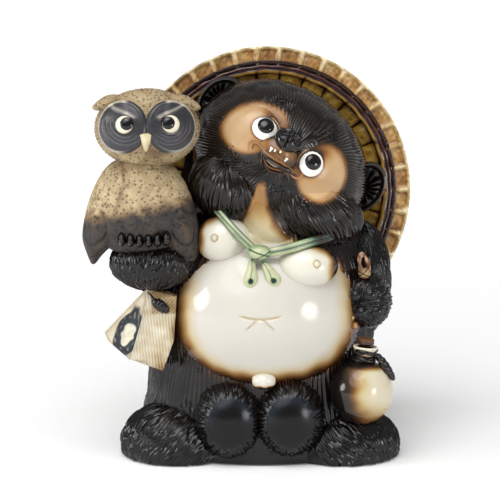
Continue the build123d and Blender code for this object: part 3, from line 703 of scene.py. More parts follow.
# Small pressed curls of fur in clusters round the face, warts, and a crease under one cheek
curls = []
for middle in ((12.8, 217.9), (40.3, 199.4), (-20.6, 185.1), (7.6, 167.0), (25.0, 157.9)):
    for index in range(9):
        angle = index * 2.4
        spread = 1.25 * math.sqrt(index)
        spot = (middle[0] + 1.5 * spread * math.cos(angle), middle[1] + 1.0 * spread * math.sin(angle))
        hook = [(spot[0] + 0.75 * math.cos(angle + turn), spot[1] + 0.75 * math.sin(angle + turn))
                for turn in (0, 1.3, 2.6, 3.9)]
        curls.append(string("curl", hook, 0.50, on_face, 0.35, ends=0.7, colour="#15171a"))
finish(join(curls, "fur_curls"), pupil_glaze)
marks = [string("wart", ((across - 0.5, up), (across, up + 0.1), (across + 0.5, up)), 0.6, on_face, 0.1,
                ends=0.8, colour="#8d5c40")
         for across, up in ((-19.6, 191.5), (-17.4, 192.6), (26.0, 160.2), (28.2, 160.6), (24.6, 161.8))]
marks.append(string("cheek_crease", ((46.0, 170.8), (42.8, 165.9), (37.8, 162.4), (32.0, 161.2)), 0.45,
                    on_face, 0.15, colour="#b98f63"))
finish(join(marks, "cheek_marks"), tan_slip)

# Light crease where the paw under the owl folds against its arm
on_paw = front_of([limbs["perch_paw"], limbs["perch_arm"]])
crease = string("paw_crease", ((-43.5, 138.4), (-42.3, 130.4), (-44.7, 123.9), (-49.2, 118.2)), 0.6, on_paw,
                0.1, colour="#4d433a")
finish(crease, iron_glaze)

# Ears, pinched cups with a rolled rim and strokes pressed into the hollow
for name, spot, seed in (("ear_left", (-0.885, 0.05, 0.17), 61), ("ear_right", (0.905, 0.05, 0.33), 62)):
    ear = Form(head.place(spot) * 1000, (13, 8, 17.5), (0, 35, 0))
    cup, shares, way, down = clay_ball(name, 208, 72)
    reach = np.sin(down)
    front = down < math.pi / 2
    strokes = np.abs(np.sin(way * 8 + 1.2 * np.sin(way * 3 + seed))) * smooth(0.12, 0.35, reach)
    inner = smooth(0.84, 0.74, reach)
    rim = near(reach - 0.90, 0.055)
    ridge = strokes ** 1.5
    deep = -0.32 - 0.50 * rim + inner * (0.10 + 0.55 * (1 - ridge) * smooth(0.80, 0.40, reach))
    shares[:, 1] = np.where(front, deep * np.sqrt(np.clip(1 - reach ** 6, 0, 1)), 0.75 * shares[:, 1])
    points = ear.place(shares)
    shape(cup, points, np.where(front, 0.16 * ridge * inner + 0.30 * rim, 0.05 * ridge), face_stops)
    finish(cup, iron_glaze, name)

# Hat, a round rain hat turned in clay, open to the front. Its rim is pressed into dished slats under amber
# ash glaze that is worn pale on every ridge.
hat = Form((3.9, 16, 158.5), (1, 1, 1), (-93, 0, 0))
hat_radius, hat_depth, rim_width, rim_thick = 90.0, 50.0, 14.0, 5.0
band_radius = hat_radius - rim_width
cone_bulge = 6.5
amber_glaze = fired("amber ash glaze", roughness=0.20, mottle=0.30, mottle_size=4,
                    relief=0.25, relief_size=2.5)
amber_stops = ((0.0, "#1a0e0a"), (0.18, "#46261a"), (0.38, "#7d5228"), (0.60, "#a67c44"), (0.80, "#c4a670"),
               (1.0, "#dfcfa6"))


def cone_depth(reach, front, apex, radius):
    """Depth at a reach from the axis of the bowed line from the rim to the peak, an arc of a circle."""
    spots = np.array(((radius, front), (radius / 2 + cone_bulge, (front + apex) / 2 + cone_bulge), (0, apex)))
    sides = 2 * (spots[1:] - spots[0])
    centre = np.linalg.solve(sides, (spots[1:] ** 2).sum(axis=1) - (spots[0] ** 2).sum())
    size = np.hypot(*(spots[0] - centre))
    return centre[1] + np.sqrt(np.clip(size ** 2 - (reach - centre[0]) ** 2, 0, None))


shell, _, way, down = clay_ball("hat_shell", 456, 96, pole=(0, 0, 1))
level = down / math.pi
reach = np.interp(level, (0, 0.55, 0.60, 1), (0, hat_radius, band_radius, 0))
back = level < 0.575
depth = np.where(back, cone_depth(reach, rim_thick, hat_depth, hat_radius),
                 cone_depth(reach, rim_thick, hat_depth - 5, band_radius))
rim_count, hoop_pitch = 38, 15
ribs = np.abs(np.sin(way * rim_count / 2))
hoops = np.abs(np.sin(math.pi * reach / hoop_pitch))
weave = np.clip(1.4 * np.minimum(ribs * reach / 40, 1), 0, 1) * smooth(0.0, 0.35, hoops)
depth = depth - np.where(back & (reach < 87), 1.3 * (1 - weave) * smooth(0, 12, reach), 0)
points = hat.at(thrown(reach, way, depth))
move_points(shell, points)
worn = 0.42 + 0.10 * ripple(points, 16, 71) + 0.26 * (smooth(0.75, 1.0, weave) - 0.5) - 0.30 * (1 - weave)
# The inside of the bowl, open to the front, is painted near black: painted shade in its hollow.
tint(shell, np.where(back, worn, 0.05), amber_stops)
finish(shell, amber_glaze, "hat_shell")


def two_sided(sheet, points, way_back, amount, stops):
    """A sheet with its face at the points in metres, its back straight behind it and its sides closed."""
    bpy.context.view_layer.objects.active = sheet
    wall = sheet.modifiers.new("thickness", "SOLIDIFY")
    wall.thickness = 0.1
    bpy.ops.object.modifier_apply(modifier="thickness")
    shape(sheet, np.vstack([points, points + way_back]), np.tile(amount, 2), stops)
    bpy.ops.object.shade_smooth_by_angle(angle=math.radians(50))


hat_back = hat.turn @ np.array((0, 0, 0.001))
rng = np.random.default_rng(72)
slats = []
for index in range(rim_count):
    middle = 2 * math.pi * (index + 0.5) / rim_count
    sheet, u, v = grid("rim_slat", 14, 12)
    angle = middle + u * math.pi / rim_count
    sway = rng.uniform(-1, 1, 4)
    reach = 84.2 + v * (5.7 + 0.06 * sway[0]) + 0.10 * sway[1] * u
    side = smooth(0.70, 0.92, np.abs(u + 0.05 * sway[2]))
    rim = smooth(0.42, 0.66, v - 0.22 * (1 - u ** 2))
    foot = smooth(-0.45, -0.95, v)
    edge = np.clip(np.maximum(side, rim), 0, 1)
    dish = 1 - np.clip(u ** 4 + v ** 4, 0, 1)
    depth = 1.6 + 1.5 * dish - 1.3 * edge + 0.6 * smooth(0.9, 1.0, v) + 0.5 * foot + 0.15 * sway[3]
    points = hat.at(thrown(reach, angle, depth))
    worn = np.maximum(side * smooth(-0.9, 0.2, v), rim) * (0.85 + 0.25 * ripple(points, 11, 76))
    light = 0.56 + 0.13 * ripple(points, 7, 73) + 0.10 * ripple(points, 2.5, 75)
    # The foot of each slat, beside and under the ring, is painted darker: painted shade.
    light = light + 0.42 * worn - 0.38 * foot * (1 - side)
    light = light - 0.16 * smooth(0.45, 0.80, np.abs(u)) * (1 - edge)
    two_sided(sheet, points, 3.4 * hat_back, light, amber_stops)
    slats.append(sheet)
finish(join(slats, "hat_rim_slats"), amber_glaze, "hat_rim_slats")

# Ridge where the rim meets the bowl, uneven and grooved, under purple brown glaze that runs thin inside
purple_glaze = fired("purple brown iron glaze", roughness=0.15, mottle=0.35,
                     mottle_size=5, relief=0.15, relief_size=2)
bpy.ops.mesh.primitive_torus_add(major_segments=608, minor_segments=20, major_radius=1, minor_radius=0.1)
ring = bpy.context.object
local = points_of(ring)
way = np.arctan2(local[:, 1], local[:, 0])
turn_in = np.arctan2(local[:, 2], np.hypot(local[:, 0], local[:, 1]) - 1)
wave = 0.25 * np.sin(way * rim_count) + 0.2 * np.sin(way * 23 + 1) + 0.15 * np.sin(way * 51 + 2)
swell = 1 - 0.42 * near(turn_in + math.pi / 2, 0.40) + 0.08 * np.sin(way * rim_count + 1)
reach = band_radius + 0.5 * wave + 2.9 * swell * np.cos(turn_in)
depth = 1.5 + 0.4 * wave + 2.9 * swell * np.sin(turn_in)
move_points(ring, hat.at(thrown(reach, way, np.maximum(depth, -1.3))))
bpy.ops.object.shade_smooth()
facing = near(np.abs(turn_in + math.pi / 2) - 0.55, 0.28)
inside = smooth(-0.30, -0.50, np.cos(turn_in)) * smooth(0.05, 0.20, np.abs(np.sin(way * 15)))
tint(ring, 0.8 * facing + 0.25 * wave + 1.9 * inside,
     ((0, "#160b0c"), (0.5, "#33191a"), (0.9, "#5a3426"), (1.3, "#8a5f36"), (2.0, "#a37c38")))
finish(ring, purple_glaze, "hat_ring")

# Slats inside the bowl, flat tongues of amber glazed clay with dark gaps
slat_stops = ((0.0, "#1a0e0a"), (0.2, "#4a2a10"), (0.42, "#8f6422"), (0.6, "#a88437"), (0.8, "#c9a557"),
              (1.0, "#e4cd92"))
bowl_count = 30
slats = []
for index in range(bowl_count):
    middle = 2 * math.pi * (index + 0.5) / bowl_count
    sheet, u, v = grid("bowl_slat", 10, 8)
    sway = rng.uniform(-1, 1, 4)
    angle = middle + u * (math.pi / bowl_count - 0.008) * (1 + 0.04 * sway[0])
    reach = 64.2 + v * (8.4 + 0.5 * sway[1] * u)
    edge = smooth(0.78, 1.0, np.maximum(np.abs(u), np.abs(v)))
    chord = rim_thick + (hat_depth - 5 - rim_thick) * (1 - reach / band_radius)
    depth = chord + 1.0 + 0.5 * sway[2] * u + 0.9 * edge
    points = hat.at(thrown(reach, angle, depth))
    light = 0.60 + 0.12 * ripple(points, 6, 74) + 0.14 * ripple(points, 2, 77)
    light = light - 0.30 * smooth(0.72, 1.0, np.abs(u))
    # Each slat is painted darker at its outer end, under the ring: painted shade.
    two_sided(sheet, points, 1.6 * hat_back, light - 0.25 * smooth(0.7, 1.0, v), slat_stops)
    slats.append(sheet)
finish(join(slats, "hat_inner_slats"), amber_glaze, "hat_inner_slats")

# Neck cord and its bow, each run two rolled strings side by side under celadon that pools blue between them
celadon_glaze = fired("celadon glaze", roughness=0.16, mottle=0.10, mottle_size=9,
                      relief=0.06, relief_size=3)
celadon_stops = ((0.0, "#1d2a24"), (0.3, "#456a5c"), (0.6, "#8d9f76"), (1.0, "#c6c7a2"))
cord_spots_left = ((-31.2, -41.8, 158), (-22.6, -53.9, 149.3), (-12.5, -58.6, 139), (-3.1, -60.3, 130.4))
cord_spots_right = ((0.8, -60.3, 129.9), (12.5, -62.1, 132.1), (26.5, -59.7, 135.9), (43.7, -47.6, 139),
                    (57.7, -30.2, 143))
for name, spots in (("cord_left", cord_spots_left), ("cord_right", cord_spots_right)):
    ridges = []
    for lift in (-1, 1):
        moved = [(across, depth - 0.25 * lift, up + 1.35 * lift) for across, depth, up in spots]
        ridges.append(string(name + "_ridge", moved, 1.7, ends=0.8))
    ridges.append(string(name + "_core", [(across, depth + 0.9, up) for across, depth, up in spots], 2.3,
                         ends=0.9))
    cord = join(ridges, name)
    points = points_of(cord)
    middle = np.array(spots) / 1000
    height = np.interp(points[:, 0], middle[:, 0], middle[:, 2]) if middle[0, 0] < middle[-1, 0] else 0
    off = 1000 * np.abs(points[:, 2] - height)
    light = 0.25 + 0.65 * smooth(0.2, 1.6, off) * smooth(3.4, 2.0, off) + 0.15 * ripple(points, 9, 81)
    tucked = (0.020, 0.036) if name == "cord_right" else (-0.026, -0.033)
    dark = smooth(*tucked, points[:, 0])
    tint(cord, light - 0.8 * dark, ((-0.8, "#0e0c0b"), (-0.2, "#3a2a18"),) + celadon_stops)
    finish(cord, celadon_glaze, name)

knot_form = Form((-2.0, -61.5, 130.8), (7.2, 7.0, 4.6))
knot, shares, *_ = clay_ball("bow_knot", 90, 60)
groove = near(shares[:, 0] * 0.55 + shares[:, 2], 0.10) + near(shares[:, 0] * 0.9 - shares[:, 2] - 0.62, 0.09)
groove = np.clip(groove, 0, 1) * smooth(0.2, -0.3, shares[:, 1])
shape(knot, knot_form.place(shares * (1 - 0.14 * groove)[:, None]),
      0.88 - 0.7 * groove - 0.35 * smooth(0.6, 1.0, np.hypot(shares[:, 0], shares[:, 2])), celadon_stops)
finish(knot, celadon_glaze, "bow_knot")
loops = []
for side, form in (("left", Form((-6.7, -63.2, 117.7), (5.0, 5.0, 9.4), (0, 4, 0))),
                   ("right", Form((4.8, -63.2, 117.7), (5.0, 5.0, 9.4), (0, -30, 0)))):
    loop, shares, *_ = clay_ball("bow_loop_" + side, 110, 80)
    front = smooth(0.2, -0.2, shares[:, 1])
    hole = np.exp(-((shares[:, 0] / 0.30) ** 2 + ((shares[:, 2] + 0.38) / 0.17) ** 2) ** 1.6) * front
    fold = near(shares[:, 0] - 0.12 * np.sin(4 * shares[:, 2]), 0.10) * front
    fold = fold * smooth(-0.35, -0.05, shares[:, 2])
    top = smooth(0.55, 0.90, shares[:, 2])
    shares[:, 0] = shares[:, 0] * (0.62 + 0.38 * smooth(0.5, -0.6, shares[:, 2]))
    pressed = shares * (1 - 0.10 * fold * (1 - top))[:, None] + 0.45 * hole[:, None] * np.array((0, 1, 0))
    move_points(loop, form.place(pressed))
    rim = smooth(0.70, 1.0, np.hypot(shares[:, 0], shares[:, 2]))
    rim = rim * (0.5 + 0.5 * ripple(points_of(loop), 5, 86))
    tint(loop, 1.0 - 0.95 * hole ** 0.5 - 0.50 * fold - 0.25 * top - 0.35 * rim,
         ((-0.1, "#1c3a3c"),) + celadon_stops)
    loops.append(loop)
finish(join(loops, "bow_loops"), celadon_glaze, "bow_loops")

# Bottle, thrown round with a flared lip: cream over amber, dusted black at its left, its neck in black rope
bottle = Form((60.0, -46.4, 43.0), (19.5, 19.0, 20.0), (0, 5, 0))
flask, shares, _, down = clay_ball("bottle_shell", 140, 100, pole=(0, 0, 1))
local = 1000 * bottle.half * shares
wide = np.interp(down, (0, 0.04, 0.30), (0, 5.2, 5.4))
lift = np.interp(down, (0, 0.04, 0.30), (28.2, 28.2, 19.1))
neck = thrown(wide, np.arctan2(local[:, 1], local[:, 0]), lift)
points = bottle.at(np.where(down[:, None] < 0.30, neck, local))
dust = smooth(0.38, -0.78, shares[:, 0] + 0.05 * ripple(points, 9, 82)) ** 1.3
amber = smooth(0.05, -0.95, shares[:, 2] + 0.04 * ripple(points, 15, 83) + 0.10 * shares[:, 0])
shadow = smooth(0.72, 0.92, shares[:, 2])
light = np.clip(0.93 - 0.58 * amber - 0.95 * dust * (1 - 0.3 * amber) - 0.8 * shadow, 0, 1)
shape(flask, points, light, ((0.0, "#15110f"), (0.2, "#33241a"), (0.40, "#6b4722"), (0.58, "#9a7844"),
                             (0.8, "#c2b184"), (1.0, "#d8d2c2")))
finish(flask, cream_glaze, "bottle_shell")

collar, _, way, down = clay_ball("bottle_collar", 80, 50, pole=(0, 0, 1))
lift = np.interp(down, (0, 0.5, 0.7, 2.4, math.pi), (27.0, 27.6, 28.2, 22.4, 22.4))
wide = np.interp(down, (0, 0.5, 0.7, 0.9, 2.4, 2.7, math.pi), (0, 5.2, 7.0, 7.6, 5.7, 5.5, 0))
light = smooth(22.2, 24.5, lift) - 0.3 * smooth(6, 5.4, wide) * smooth(26.5, 27.5, lift)
shape(collar, bottle.at(thrown(wide, way, lift)), light, ((0, "#5a3a1c"), (0.6, "#cdb68c"), (1, "#e9dfc8")))
finish(collar, cream_glaze, "bottle_collar")
cap, shares, way, _ = clay_ball("bottle_stopper", 64, 40, pole=(0, 0, 1))
lift = 28.6 + 4.9 * np.clip((1 + shares[:, 2]) / 2 * 1.02, 0, 1)
wide = 5.1 * np.clip(np.hypot(shares[:, 0], shares[:, 1]) * 1.15, 0, 1)
# The stopper is painted lighter towards its top, a painted highlight.
shape(cap, bottle.at(thrown(wide, way, lift)), lift, ((28.6, "#26140c"), (31.5, "#4a2b18"),
                                                      (33.6, "#7a5632")))
finish(cap, brown_glaze, "bottle_stopper")


def rope_strands(name, spots, radius, closed=False):
    """Two strings twisted into a rope along spots in mm."""
    spots = np.array(spots, float)
    runs = np.concatenate([[0], np.cumsum(np.linalg.norm(np.diff(spots, axis=0), axis=1))])
    count = max(int(runs[-1] / 0.7), 12)
    along = np.linspace(0, runs[-1], count)
    centre = np.stack([np.interp(along, runs, spots[:, axis]) for axis in range(3)], axis=1)
    ahead = np.gradient(centre, axis=0)
    ahead = ahead / np.linalg.norm(ahead, axis=1)[:, None]
    side = np.cross(ahead, (0, 1, 0))
    side = side / (np.linalg.norm(side, axis=1)[:, None] + 1e-9)
    other = np.cross(ahead, side)
    strands = []
    for start in (0, math.pi):
        turn = along / (1.9 * radius) + start
        spot = centre + 0.46 * radius * (np.cos(turn)[:, None] * side + np.sin(turn)[:, None] * other)
        strands.append(string(name + "_strand", spot, 0.56 * radius, ends=1 if closed else 0.7))
    return strands


def ring_spots(radius, lift, count=40):
    return [1000 * bottle.at((radius * math.cos(angle), radius * math.sin(angle), lift))
            for angle in np.linspace(0, 2 * math.pi, count + 1)]


turns = [strand for lift in (20.6, 25.2)
         for strand in rope_strands("neck_rope", ring_spots(6.4, lift), 2.1, closed=True)]
ropes = join(turns, "bottle_neck_cord")
tint(ropes, 0.5 + 0.5 * ripple(points_of(ropes), 3, 84), ((0, "#0b0a0b"), (1, "#231d1c")))
finish(ropes, pupil_glaze, "bottle_neck_cord")
tail_form = Form(bottle.place((0.66, -0.22, 0.86)) * 1000, (3.2, 3.4, 10.5), (0, -33, 0))
end, shares, *_ = clay_ball("bottle_cord_tail", 72, 70, pole=(0, 0, 1))
twist = np.sin(3 * np.arctan2(shares[:, 1], shares[:, 0]) + 16 * shares[:, 2])
fray = smooth(-0.45, -0.9, shares[:, 2])
shape(end, tail_form.place(shares * (0.95 - 0.05 * (1 - twist) * (1 - fray))[:, None]),
      twist * (1 - 0.3 * fray), ((-1, "#0a090a"), (1, "#2a2321")))
finish(end, pupil_glaze, "bottle_cord_tail")

# Rope loop that stands out of the closed paw, the bight of the rope that carries the bottle
loop_middle = bottle_paw.place((-0.10, -0.05, 1)) * 1000 + np.array((0, 0, 4.2))
angles = np.linspace(0, 2 * math.pi, 41)
bight = [(loop_middle[0] - 1.0 + 2.5 * math.cos(angle) - 1.0 * math.sin(angle), loop_middle[1],
          loop_middle[2] + 1.0 + 6.6 * math.sin(angle))
         for angle in angles]
loop = join(rope_strands("rope", bight, 1.6, closed=True), "rope_loop")
points = points_of(loop)
tint(loop, 0.5 + 0.5 * ripple(points, 4, 85), ((0, "#4a2c1e"), (0.5, "#94694e"), (1, "#c2a283")))
finish(loop, brown_glaze, "rope_loop")
knob_form = Form(bottle_paw.place((-0.16, -0.45, 1.04)) * 1000, (3.8, 5, 3.4))
knob, shares, *_ = clay_ball("rope_knot", 72, 50)
wrap = near(shares[:, 2] + 0.5 * shares[:, 0], 0.10) + near(shares[:, 2] - 0.9 * shares[:, 0] - 0.5, 0.10)
wrap = np.clip(wrap, 0, 1)
points = knob_form.place(shares * (1 - 0.13 * wrap)[:, None])
# The knot is painted darker towards its bottom, where it sits on the paw: painted shade.
shape(knob, points, 0.9 - 0.7 * wrap - 0.5 * smooth(-0.1, -0.8, shares[:, 2]),
      ((0, "#20120b"), (0.5, "#5c432a"), (1, "#a28a66")))
finish(knob, brown_glaze, "rope_knot")

# Owl, unglazed stoneware full of small dark pits, sprayed dark below, with feathers carved as arcs
speckled_clay, owl_place = blank("speckled stoneware")
owl_tone = add(speckled_clay, "ShaderNodeAttribute", attribute_name="glaze")
pits = add(speckled_clay, "ShaderNodeTexVoronoi", {"Vector": owl_place, "Scale": 1000 / 2.4})
pit_size = add(speckled_clay, "ShaderNodeTexNoise", {"Vector": owl_place, "Scale": 1000 / 3.5, "Detail": 3.0})
pit_edge = add(speckled_clay, "ShaderNodeMath", {0: pits, 1: pit_size}, operation="DIVIDE")
pit_share = add(speckled_clay, "ShaderNodeMapRange", {"Value": pit_edge, "From Min": 0.34, "From Max": 0.85,
                                                      "To Min": 0.34, "To Max": 1.0})
sand = add(speckled_clay, "ShaderNodeTexNoise", {"Vector": owl_place, "Scale": 1000 / 0.8, "Detail": 4.0})
sand_share = add(speckled_clay, "ShaderNodeMapRange", {"Value": sand, "From Min": 0.35, "From Max": 0.65,
                                                       "To Min": 0.78, "To Max": 1.16})
both = add(speckled_clay, "ShaderNodeMath", {0: pit_share, 1: sand_share}, operation="MULTIPLY")
owl_colour = add(speckled_clay, "ShaderNodeVectorMath", {0: owl_tone, "Scale": both}, operation="SCALE")
owl_bump = add(speckled_clay, "ShaderNodeBump", {"Height": both, "Distance": 0.0003, "Strength": 0.9})
coat(speckled_clay, {
    "Base Color": owl_colour, "Roughness": 0.72, "Normal": owl_bump})
owl_stops = ((0.0, "#2a2523"), (0.16, "#3a3430"), (0.38, "#5e4b38"), (0.60, "#866f50"), (0.82, "#a99470"),
             (1.0, "#bfac87"))
owl_body = Form((-72.9, -41.8, 151.4), (31, 26, 36))
owl_head = Form((-68.6, -41.8, 202.5), (31.8, 26, 24))


def owl_spray(points):
    """Tone of the owl's clay: tan above, sprayed dark brown below a slanting line, grey spray under the beak,
    a darker band round the neck, and painted shade along the left wing's edge.
    """
    line = 1000 * points[:, 2] - (154.5 + 0.18 * (1000 * points[:, 0] + 73))
    up = 1000 * points[:, 2]
    crease = np.interp(up, (150, 159, 171, 184), (-89, -85.5, -81.5, -83))
    # A dark line along the left wing's edge against the chest: painted shade.
    wing_edge_shade = near(1000 * points[:, 0] - crease, 1.1) * smooth(144, 150, up) * smooth(185, 180, up)
    chin = np.exp(-((1000 * points[:, 0] + 63) / 7) ** 2 - ((up - 189.5) / 4.5) ** 2)
    neck = near(up - 181, 4.5)
    worn = smooth(-5, 6, line + 1.1 * ripple(points, 6, 91))
    front = smooth(-0.03, -0.045, points[:, 1])
    shade = (0.24 * wing_edge_shade + 0.42 * chin) * front + 0.20 * neck * (0.5 + 0.5 * ripple(points, 7, 97))
    return 0.14 + worn * (0.76 - shade) + 0.07 * ripple(points, 9, 92)


def feathers(across, up, pitch, row, bow=0.5):
    """Arcs of overlapping feathers on a flat field in mm: 1 at each feather's lower edge, 0 elsewhere."""
    strip = np.floor(across / pitch)
    share = across / pitch - strip - 0.5
    level = up / row + 0.5 * (strip % 2) - bow * (4 * share ** 2)
    return near((level - np.floor(level)) - 0.5, 0.16)


hull, shares, *_ = clay_ball("owl_body", 270, 120)
points = owl_body.place(shares)
front = smooth(0.3, -0.2, shares[:, 1])
across, _, up = 1000 * points.T
arcs = feathers(across + 73, up, 9.5, 9.5) * front * smooth(0.78, 0.55, np.abs(shares[:, 0]))
arcs = arcs * smooth(0.85, 0.6, shares[:, 2]) * 0.6
back = feathers(across + 70, up, 12, 12) * smooth(-0.1, 0.3, shares[:, 1])
groove = np.maximum(arcs, 0.8 * back)
points = points - owl_body.outward(shares) * 0.0006 * groove[:, None]
points[:, 2] = np.where(points[:, 2] < 0.142, 0.142 + 0.62 * (points[:, 2] - 0.142), points[:, 2])
shape(hull, points, owl_spray(points) - 0.16 * groove, owl_stops)
finish(hull, speckled_clay, "owl_body")

for name, side, tilt, seed in (("owl_wing_left", -1, 14, 93), ("owl_wing_right", 1, -14, 94)):
    wing_form = Form(owl_body.place((side * 0.66, 0.06, -0.06)) * 1000, (13, 22, 35), (0, tilt, 0))
    wing, shares, *_ = clay_ball(name, 200, 120, pole=(side, -0.8, 0.2))
    across = side * shares[:, 0] * 6 - shares[:, 1] * 14
    up = shares[:, 2] * 35
    scales = feathers(across, up, 7.5, 8.5, bow=0.6) * smooth(-0.25, 0.05, shares[:, 2])
    quills = near(np.sin(math.pi * (across + 0.12 * up) / 5.5), 0.30) * smooth(0.10, -0.15, shares[:, 2])
    edge = near(shares[:, 1] + 0.86, 0.06) * smooth(0.9, 0.6, shares[:, 2])
    groove = np.clip(scales + quills, 0, 1)
    inward = 1 - 0.06 * groove * smooth(0.98, 0.85, np.abs(shares[:, 2]))
    shares[:, :2] = shares[:, :2] * inward[:, None]
    points = wing_form.place(shares)
    tip = smooth(0.140, 0.116, points[:, 2])
    points[:, 2] = np.where(points[:, 2] < 0.140, 0.140 + 0.80 * (points[:, 2] - 0.140), points[:, 2])
    if side < 0:
        points[:, 0] = points[:, 0] + 0.55 * tip * (-0.1030 - points[:, 0])
        points[:, 1] = points[:, 1] + 0.45 * tip * (-0.0400 - points[:, 1])
    shape(wing, points, owl_spray(points) - 0.20 * groove + 0.10 * edge, owl_stops)
    finish(wing, speckled_clay, name)

crown, shares, way, down = clay_ball("owl_head", 290, 110)
points = owl_head.place(shares)
disc_forms = [owl_head.carry(-0.46, 0.12, (16.0, 5.4, 15.8), 3.5),
              owl_head.carry(0.52, 0.12, (16.0, 5.4, 15.8), 3.5)]
ruff = 0
for disc in disc_forms:
    ruff = ruff + near(disc.gap(points) - 2.4, 1.3) * smooth(0.1, -0.2, shares[:, 1])
ridge, tuft = fur(way, down, reach=28, pitch=2.6, run=8, seed=95, curl=0.3)
ticks = (1 - ridge) * smooth(0.9, 1.3, down) * smooth(2.6, 2.0, down)
points = points - owl_head.outward(shares) * (0.0005 * ticks + 0.0007 * np.clip(ruff, 0, 1))[:, None]
shape(crown, points, owl_spray(points) - 0.18 * ticks - 0.10 * np.clip(ruff, 0, 1), owl_stops)
finish(crown, speckled_clay, "owl_head")
tufts = []
for side in (-1, 1):
    tuft_form = Form(owl_head.place((side * 0.72, -0.28, 0.64)) * 1000, (9.5, 7, 4.6), (0, side * 18, 0))
    horn, shares, *_ = clay_ball("owl_tuft", 80, 60, pole=(side, 0, 0))
    lines = near(np.sin(9 * np.arctan2(shares[:, 2], shares[:, 1])), 0.35)
    lines = lines * smooth(0.95, 0.7, np.abs(shares[:, 0]))
    point_in = 1 - 0.30 * smooth(-0.2, 1.0, side * shares[:, 0])
    shares[:, 1:] = shares[:, 1:] * (point_in * (1 - 0.06 * lines))[:, None]
    points = tuft_form.place(shares)
    shape(horn, points, 0.80 - 0.25 * lines, owl_stops)
    tufts.append(horn)
finish(join(tufts, "owl_tufts"), speckled_clay, "owl_tufts")

# Owl's face: grey slip discs with light worn rims, rings under the eyes and a brow that rises from the beak
grey_slip = fired("grey slip", roughness=0.28, mottle=0.18, mottle_size=4, relief=0.10,
                  relief_size=1.2)
grey_stops = ((0.0, "#1b1b1d"), (0.25, "#2f2e31"), (0.5, "#45444a"), (0.75, "#8c8579"), (1.0, "#bdb3a0"))
plates = []
for disc, side in zip(disc_forms, (-1, 1)):
    plate, shares, *_ = clay_ball("owl_disc", 150, 96)
    across = side * shares[:, 0]
    reach = np.hypot(shares[:, 0], shares[:, 2])
    centre = (0.20, 0.08) if side < 0 else (-0.12, 0.10)
    away = np.hypot((shares[:, 0] - centre[0]) * 14.4, (shares[:, 2] - centre[1]) * 15.6)
    low = smooth(0.10, -0.25, shares[:, 2] - 0.3 * across)
    rings = sum(near(away - size, 0.45) for size in (7.6, 9.6, 11.8)) * low
    rim = smooth(0.86, 0.92, reach)
    brow = near(shares[:, 2] - 0.42 - 0.42 * (across + 0.4), 0.07) * smooth(-0.75, -0.5, across)
    leaf = near(across + 0.30 - 0.5 * (shares[:, 2] - 0.5), 0.10) * smooth(0.42, 0.55, shares[:, 2])
    light = 0.24 + 0.30 * rings + 0.62 * rim * smooth(-0.5, 0.1, across) + 0.55 * brow + 0.25 * leaf
    light = np.clip(light, 0, 1)
    shares[:, 1] = shares[:, 1] * (1 - 0.16 * (1 - np.clip(rings + rim + brow, 0, 1))
                                   * smooth(0, -0.3, shares[:, 1]))
    shape(plate, disc.place(shares), light, grey_stops)
    plates.append(plate)
finish(join(plates, "owl_discs"), grey_slip, "owl_discs")
balls = []
dots = []
for disc, spot, side in zip(disc_forms, ((0.20, 0.08), (-0.12, 0.10)), (-1, 1)):
    eye = disc.carry(spot[0], spot[1], (5.8, 4, 5.5), 2.2)
    ball, shares, _, down = clay_ball("owl_eye", 64, 48)
    shape(ball, eye.place(shares), down, ((1.0, "#ece4cd"), (1.4, "#8f8062")))
    balls.append(ball)
    pupil = eye.carry(-side * 0.42, 0.10, (3.8, 1.6, 3.8), 0.7)
    dot, shares, _, down = clay_ball("owl_pupil", 48, 40)
    shape(dot, pupil.place(shares), down, ((0, "#070707"), (3, "#0b0b0b")))
    dots.append(dot)
owl_white = fired("cream eye glaze", roughness=0.22, mottle=0.04, mottle_size=4, relief=0.03,
                  relief_size=1.5)
finish(join(balls, "owl_eyes"), owl_white, "owl_eyes")
finish(join(dots, "owl_pupils"), pupil_glaze, "owl_pupils")

beak_root = owl_head.place((0.02, -1.0, -0.02)) * 1000
bill, shares, way, _ = clay_ball("owl_beak", 80, 60, pole=(0, 0, 1))
drop = np.interp(shares[:, 2], (-1, 1), (-11, 0.0))
wide = np.interp(drop, (-11, -6, -1.2, 0), (0.75, 2.6, 4.0, 3.4))
wide = wide * np.sqrt(np.clip(1 - shares[:, 2] ** 12, 0, 1))
keel = np.where(shares[:, 1] < 0, 1.0, 0.9) * (1 - 0.25 * np.abs(np.cos(way)) ** 2)
local = np.stack([0.98 * wide * np.cos(way), wide * keel * np.sin(way), drop], axis=1) + beak_root
shape(bill, local / 1000, drop - 1.2 * np.abs(np.cos(way)),
      ((-12, "#b9a77c"), (-4, "#ddd1ab"), (0, "#c9b98e")))
beak_glaze = fired("pale cream glaze", roughness=0.35, mottle=0.06, mottle_size=3,
                   relief=0.05, relief_size=1.5)
finish(bill, beak_glaze, "owl_beak")

# Owl's toes, glossy black, each with a claw crease
toes = []
toe_root = owl_body.place((0, -0.55, -0.62)) * 1000 + np.array((3.2, -7.0, 9.8))
for side in (-1, 1):
    for index in (-1, 0, 1):
        step = np.array((side * 7.9 + index * 5.2, 0.6 * abs(index), 0.5 * index * side))
        toe_form = Form(toe_root + step, (2.8, 7.0, 4.6))
        toe, shares, *_ = clay_ball("owl_toe", 44, 34)
        crease = near(shares[:, 2] - 0.15, 0.10) * smooth(0, -0.5, shares[:, 1])
        shape(toe, toe_form.place(shares * (1 - 0.10 * crease)[:, None]), crease, ((0, "#0b0a0a"),))
        toes.append(toe)
finish(join(toes, "owl_feet"), pupil_glaze, "owl_feet")

# Account book under the paw: ribbed pages with a woven band at the top, and a cover with brush strokes
book_place = np.array((-69.6, -50.2, 106.4)) / 1000
page_glaze = fired("thin cream glaze", roughness=0.30, mottle=0.08, mottle_size=6,
                   relief=0.10, relief_size=1.5)
page_stops = ((0.0, "#1a120d"), (0.25, "#4b2f1c"), (0.50, "#937342"), (0.75, "#bfae8c"), (1.0, "#dcd6c4"))


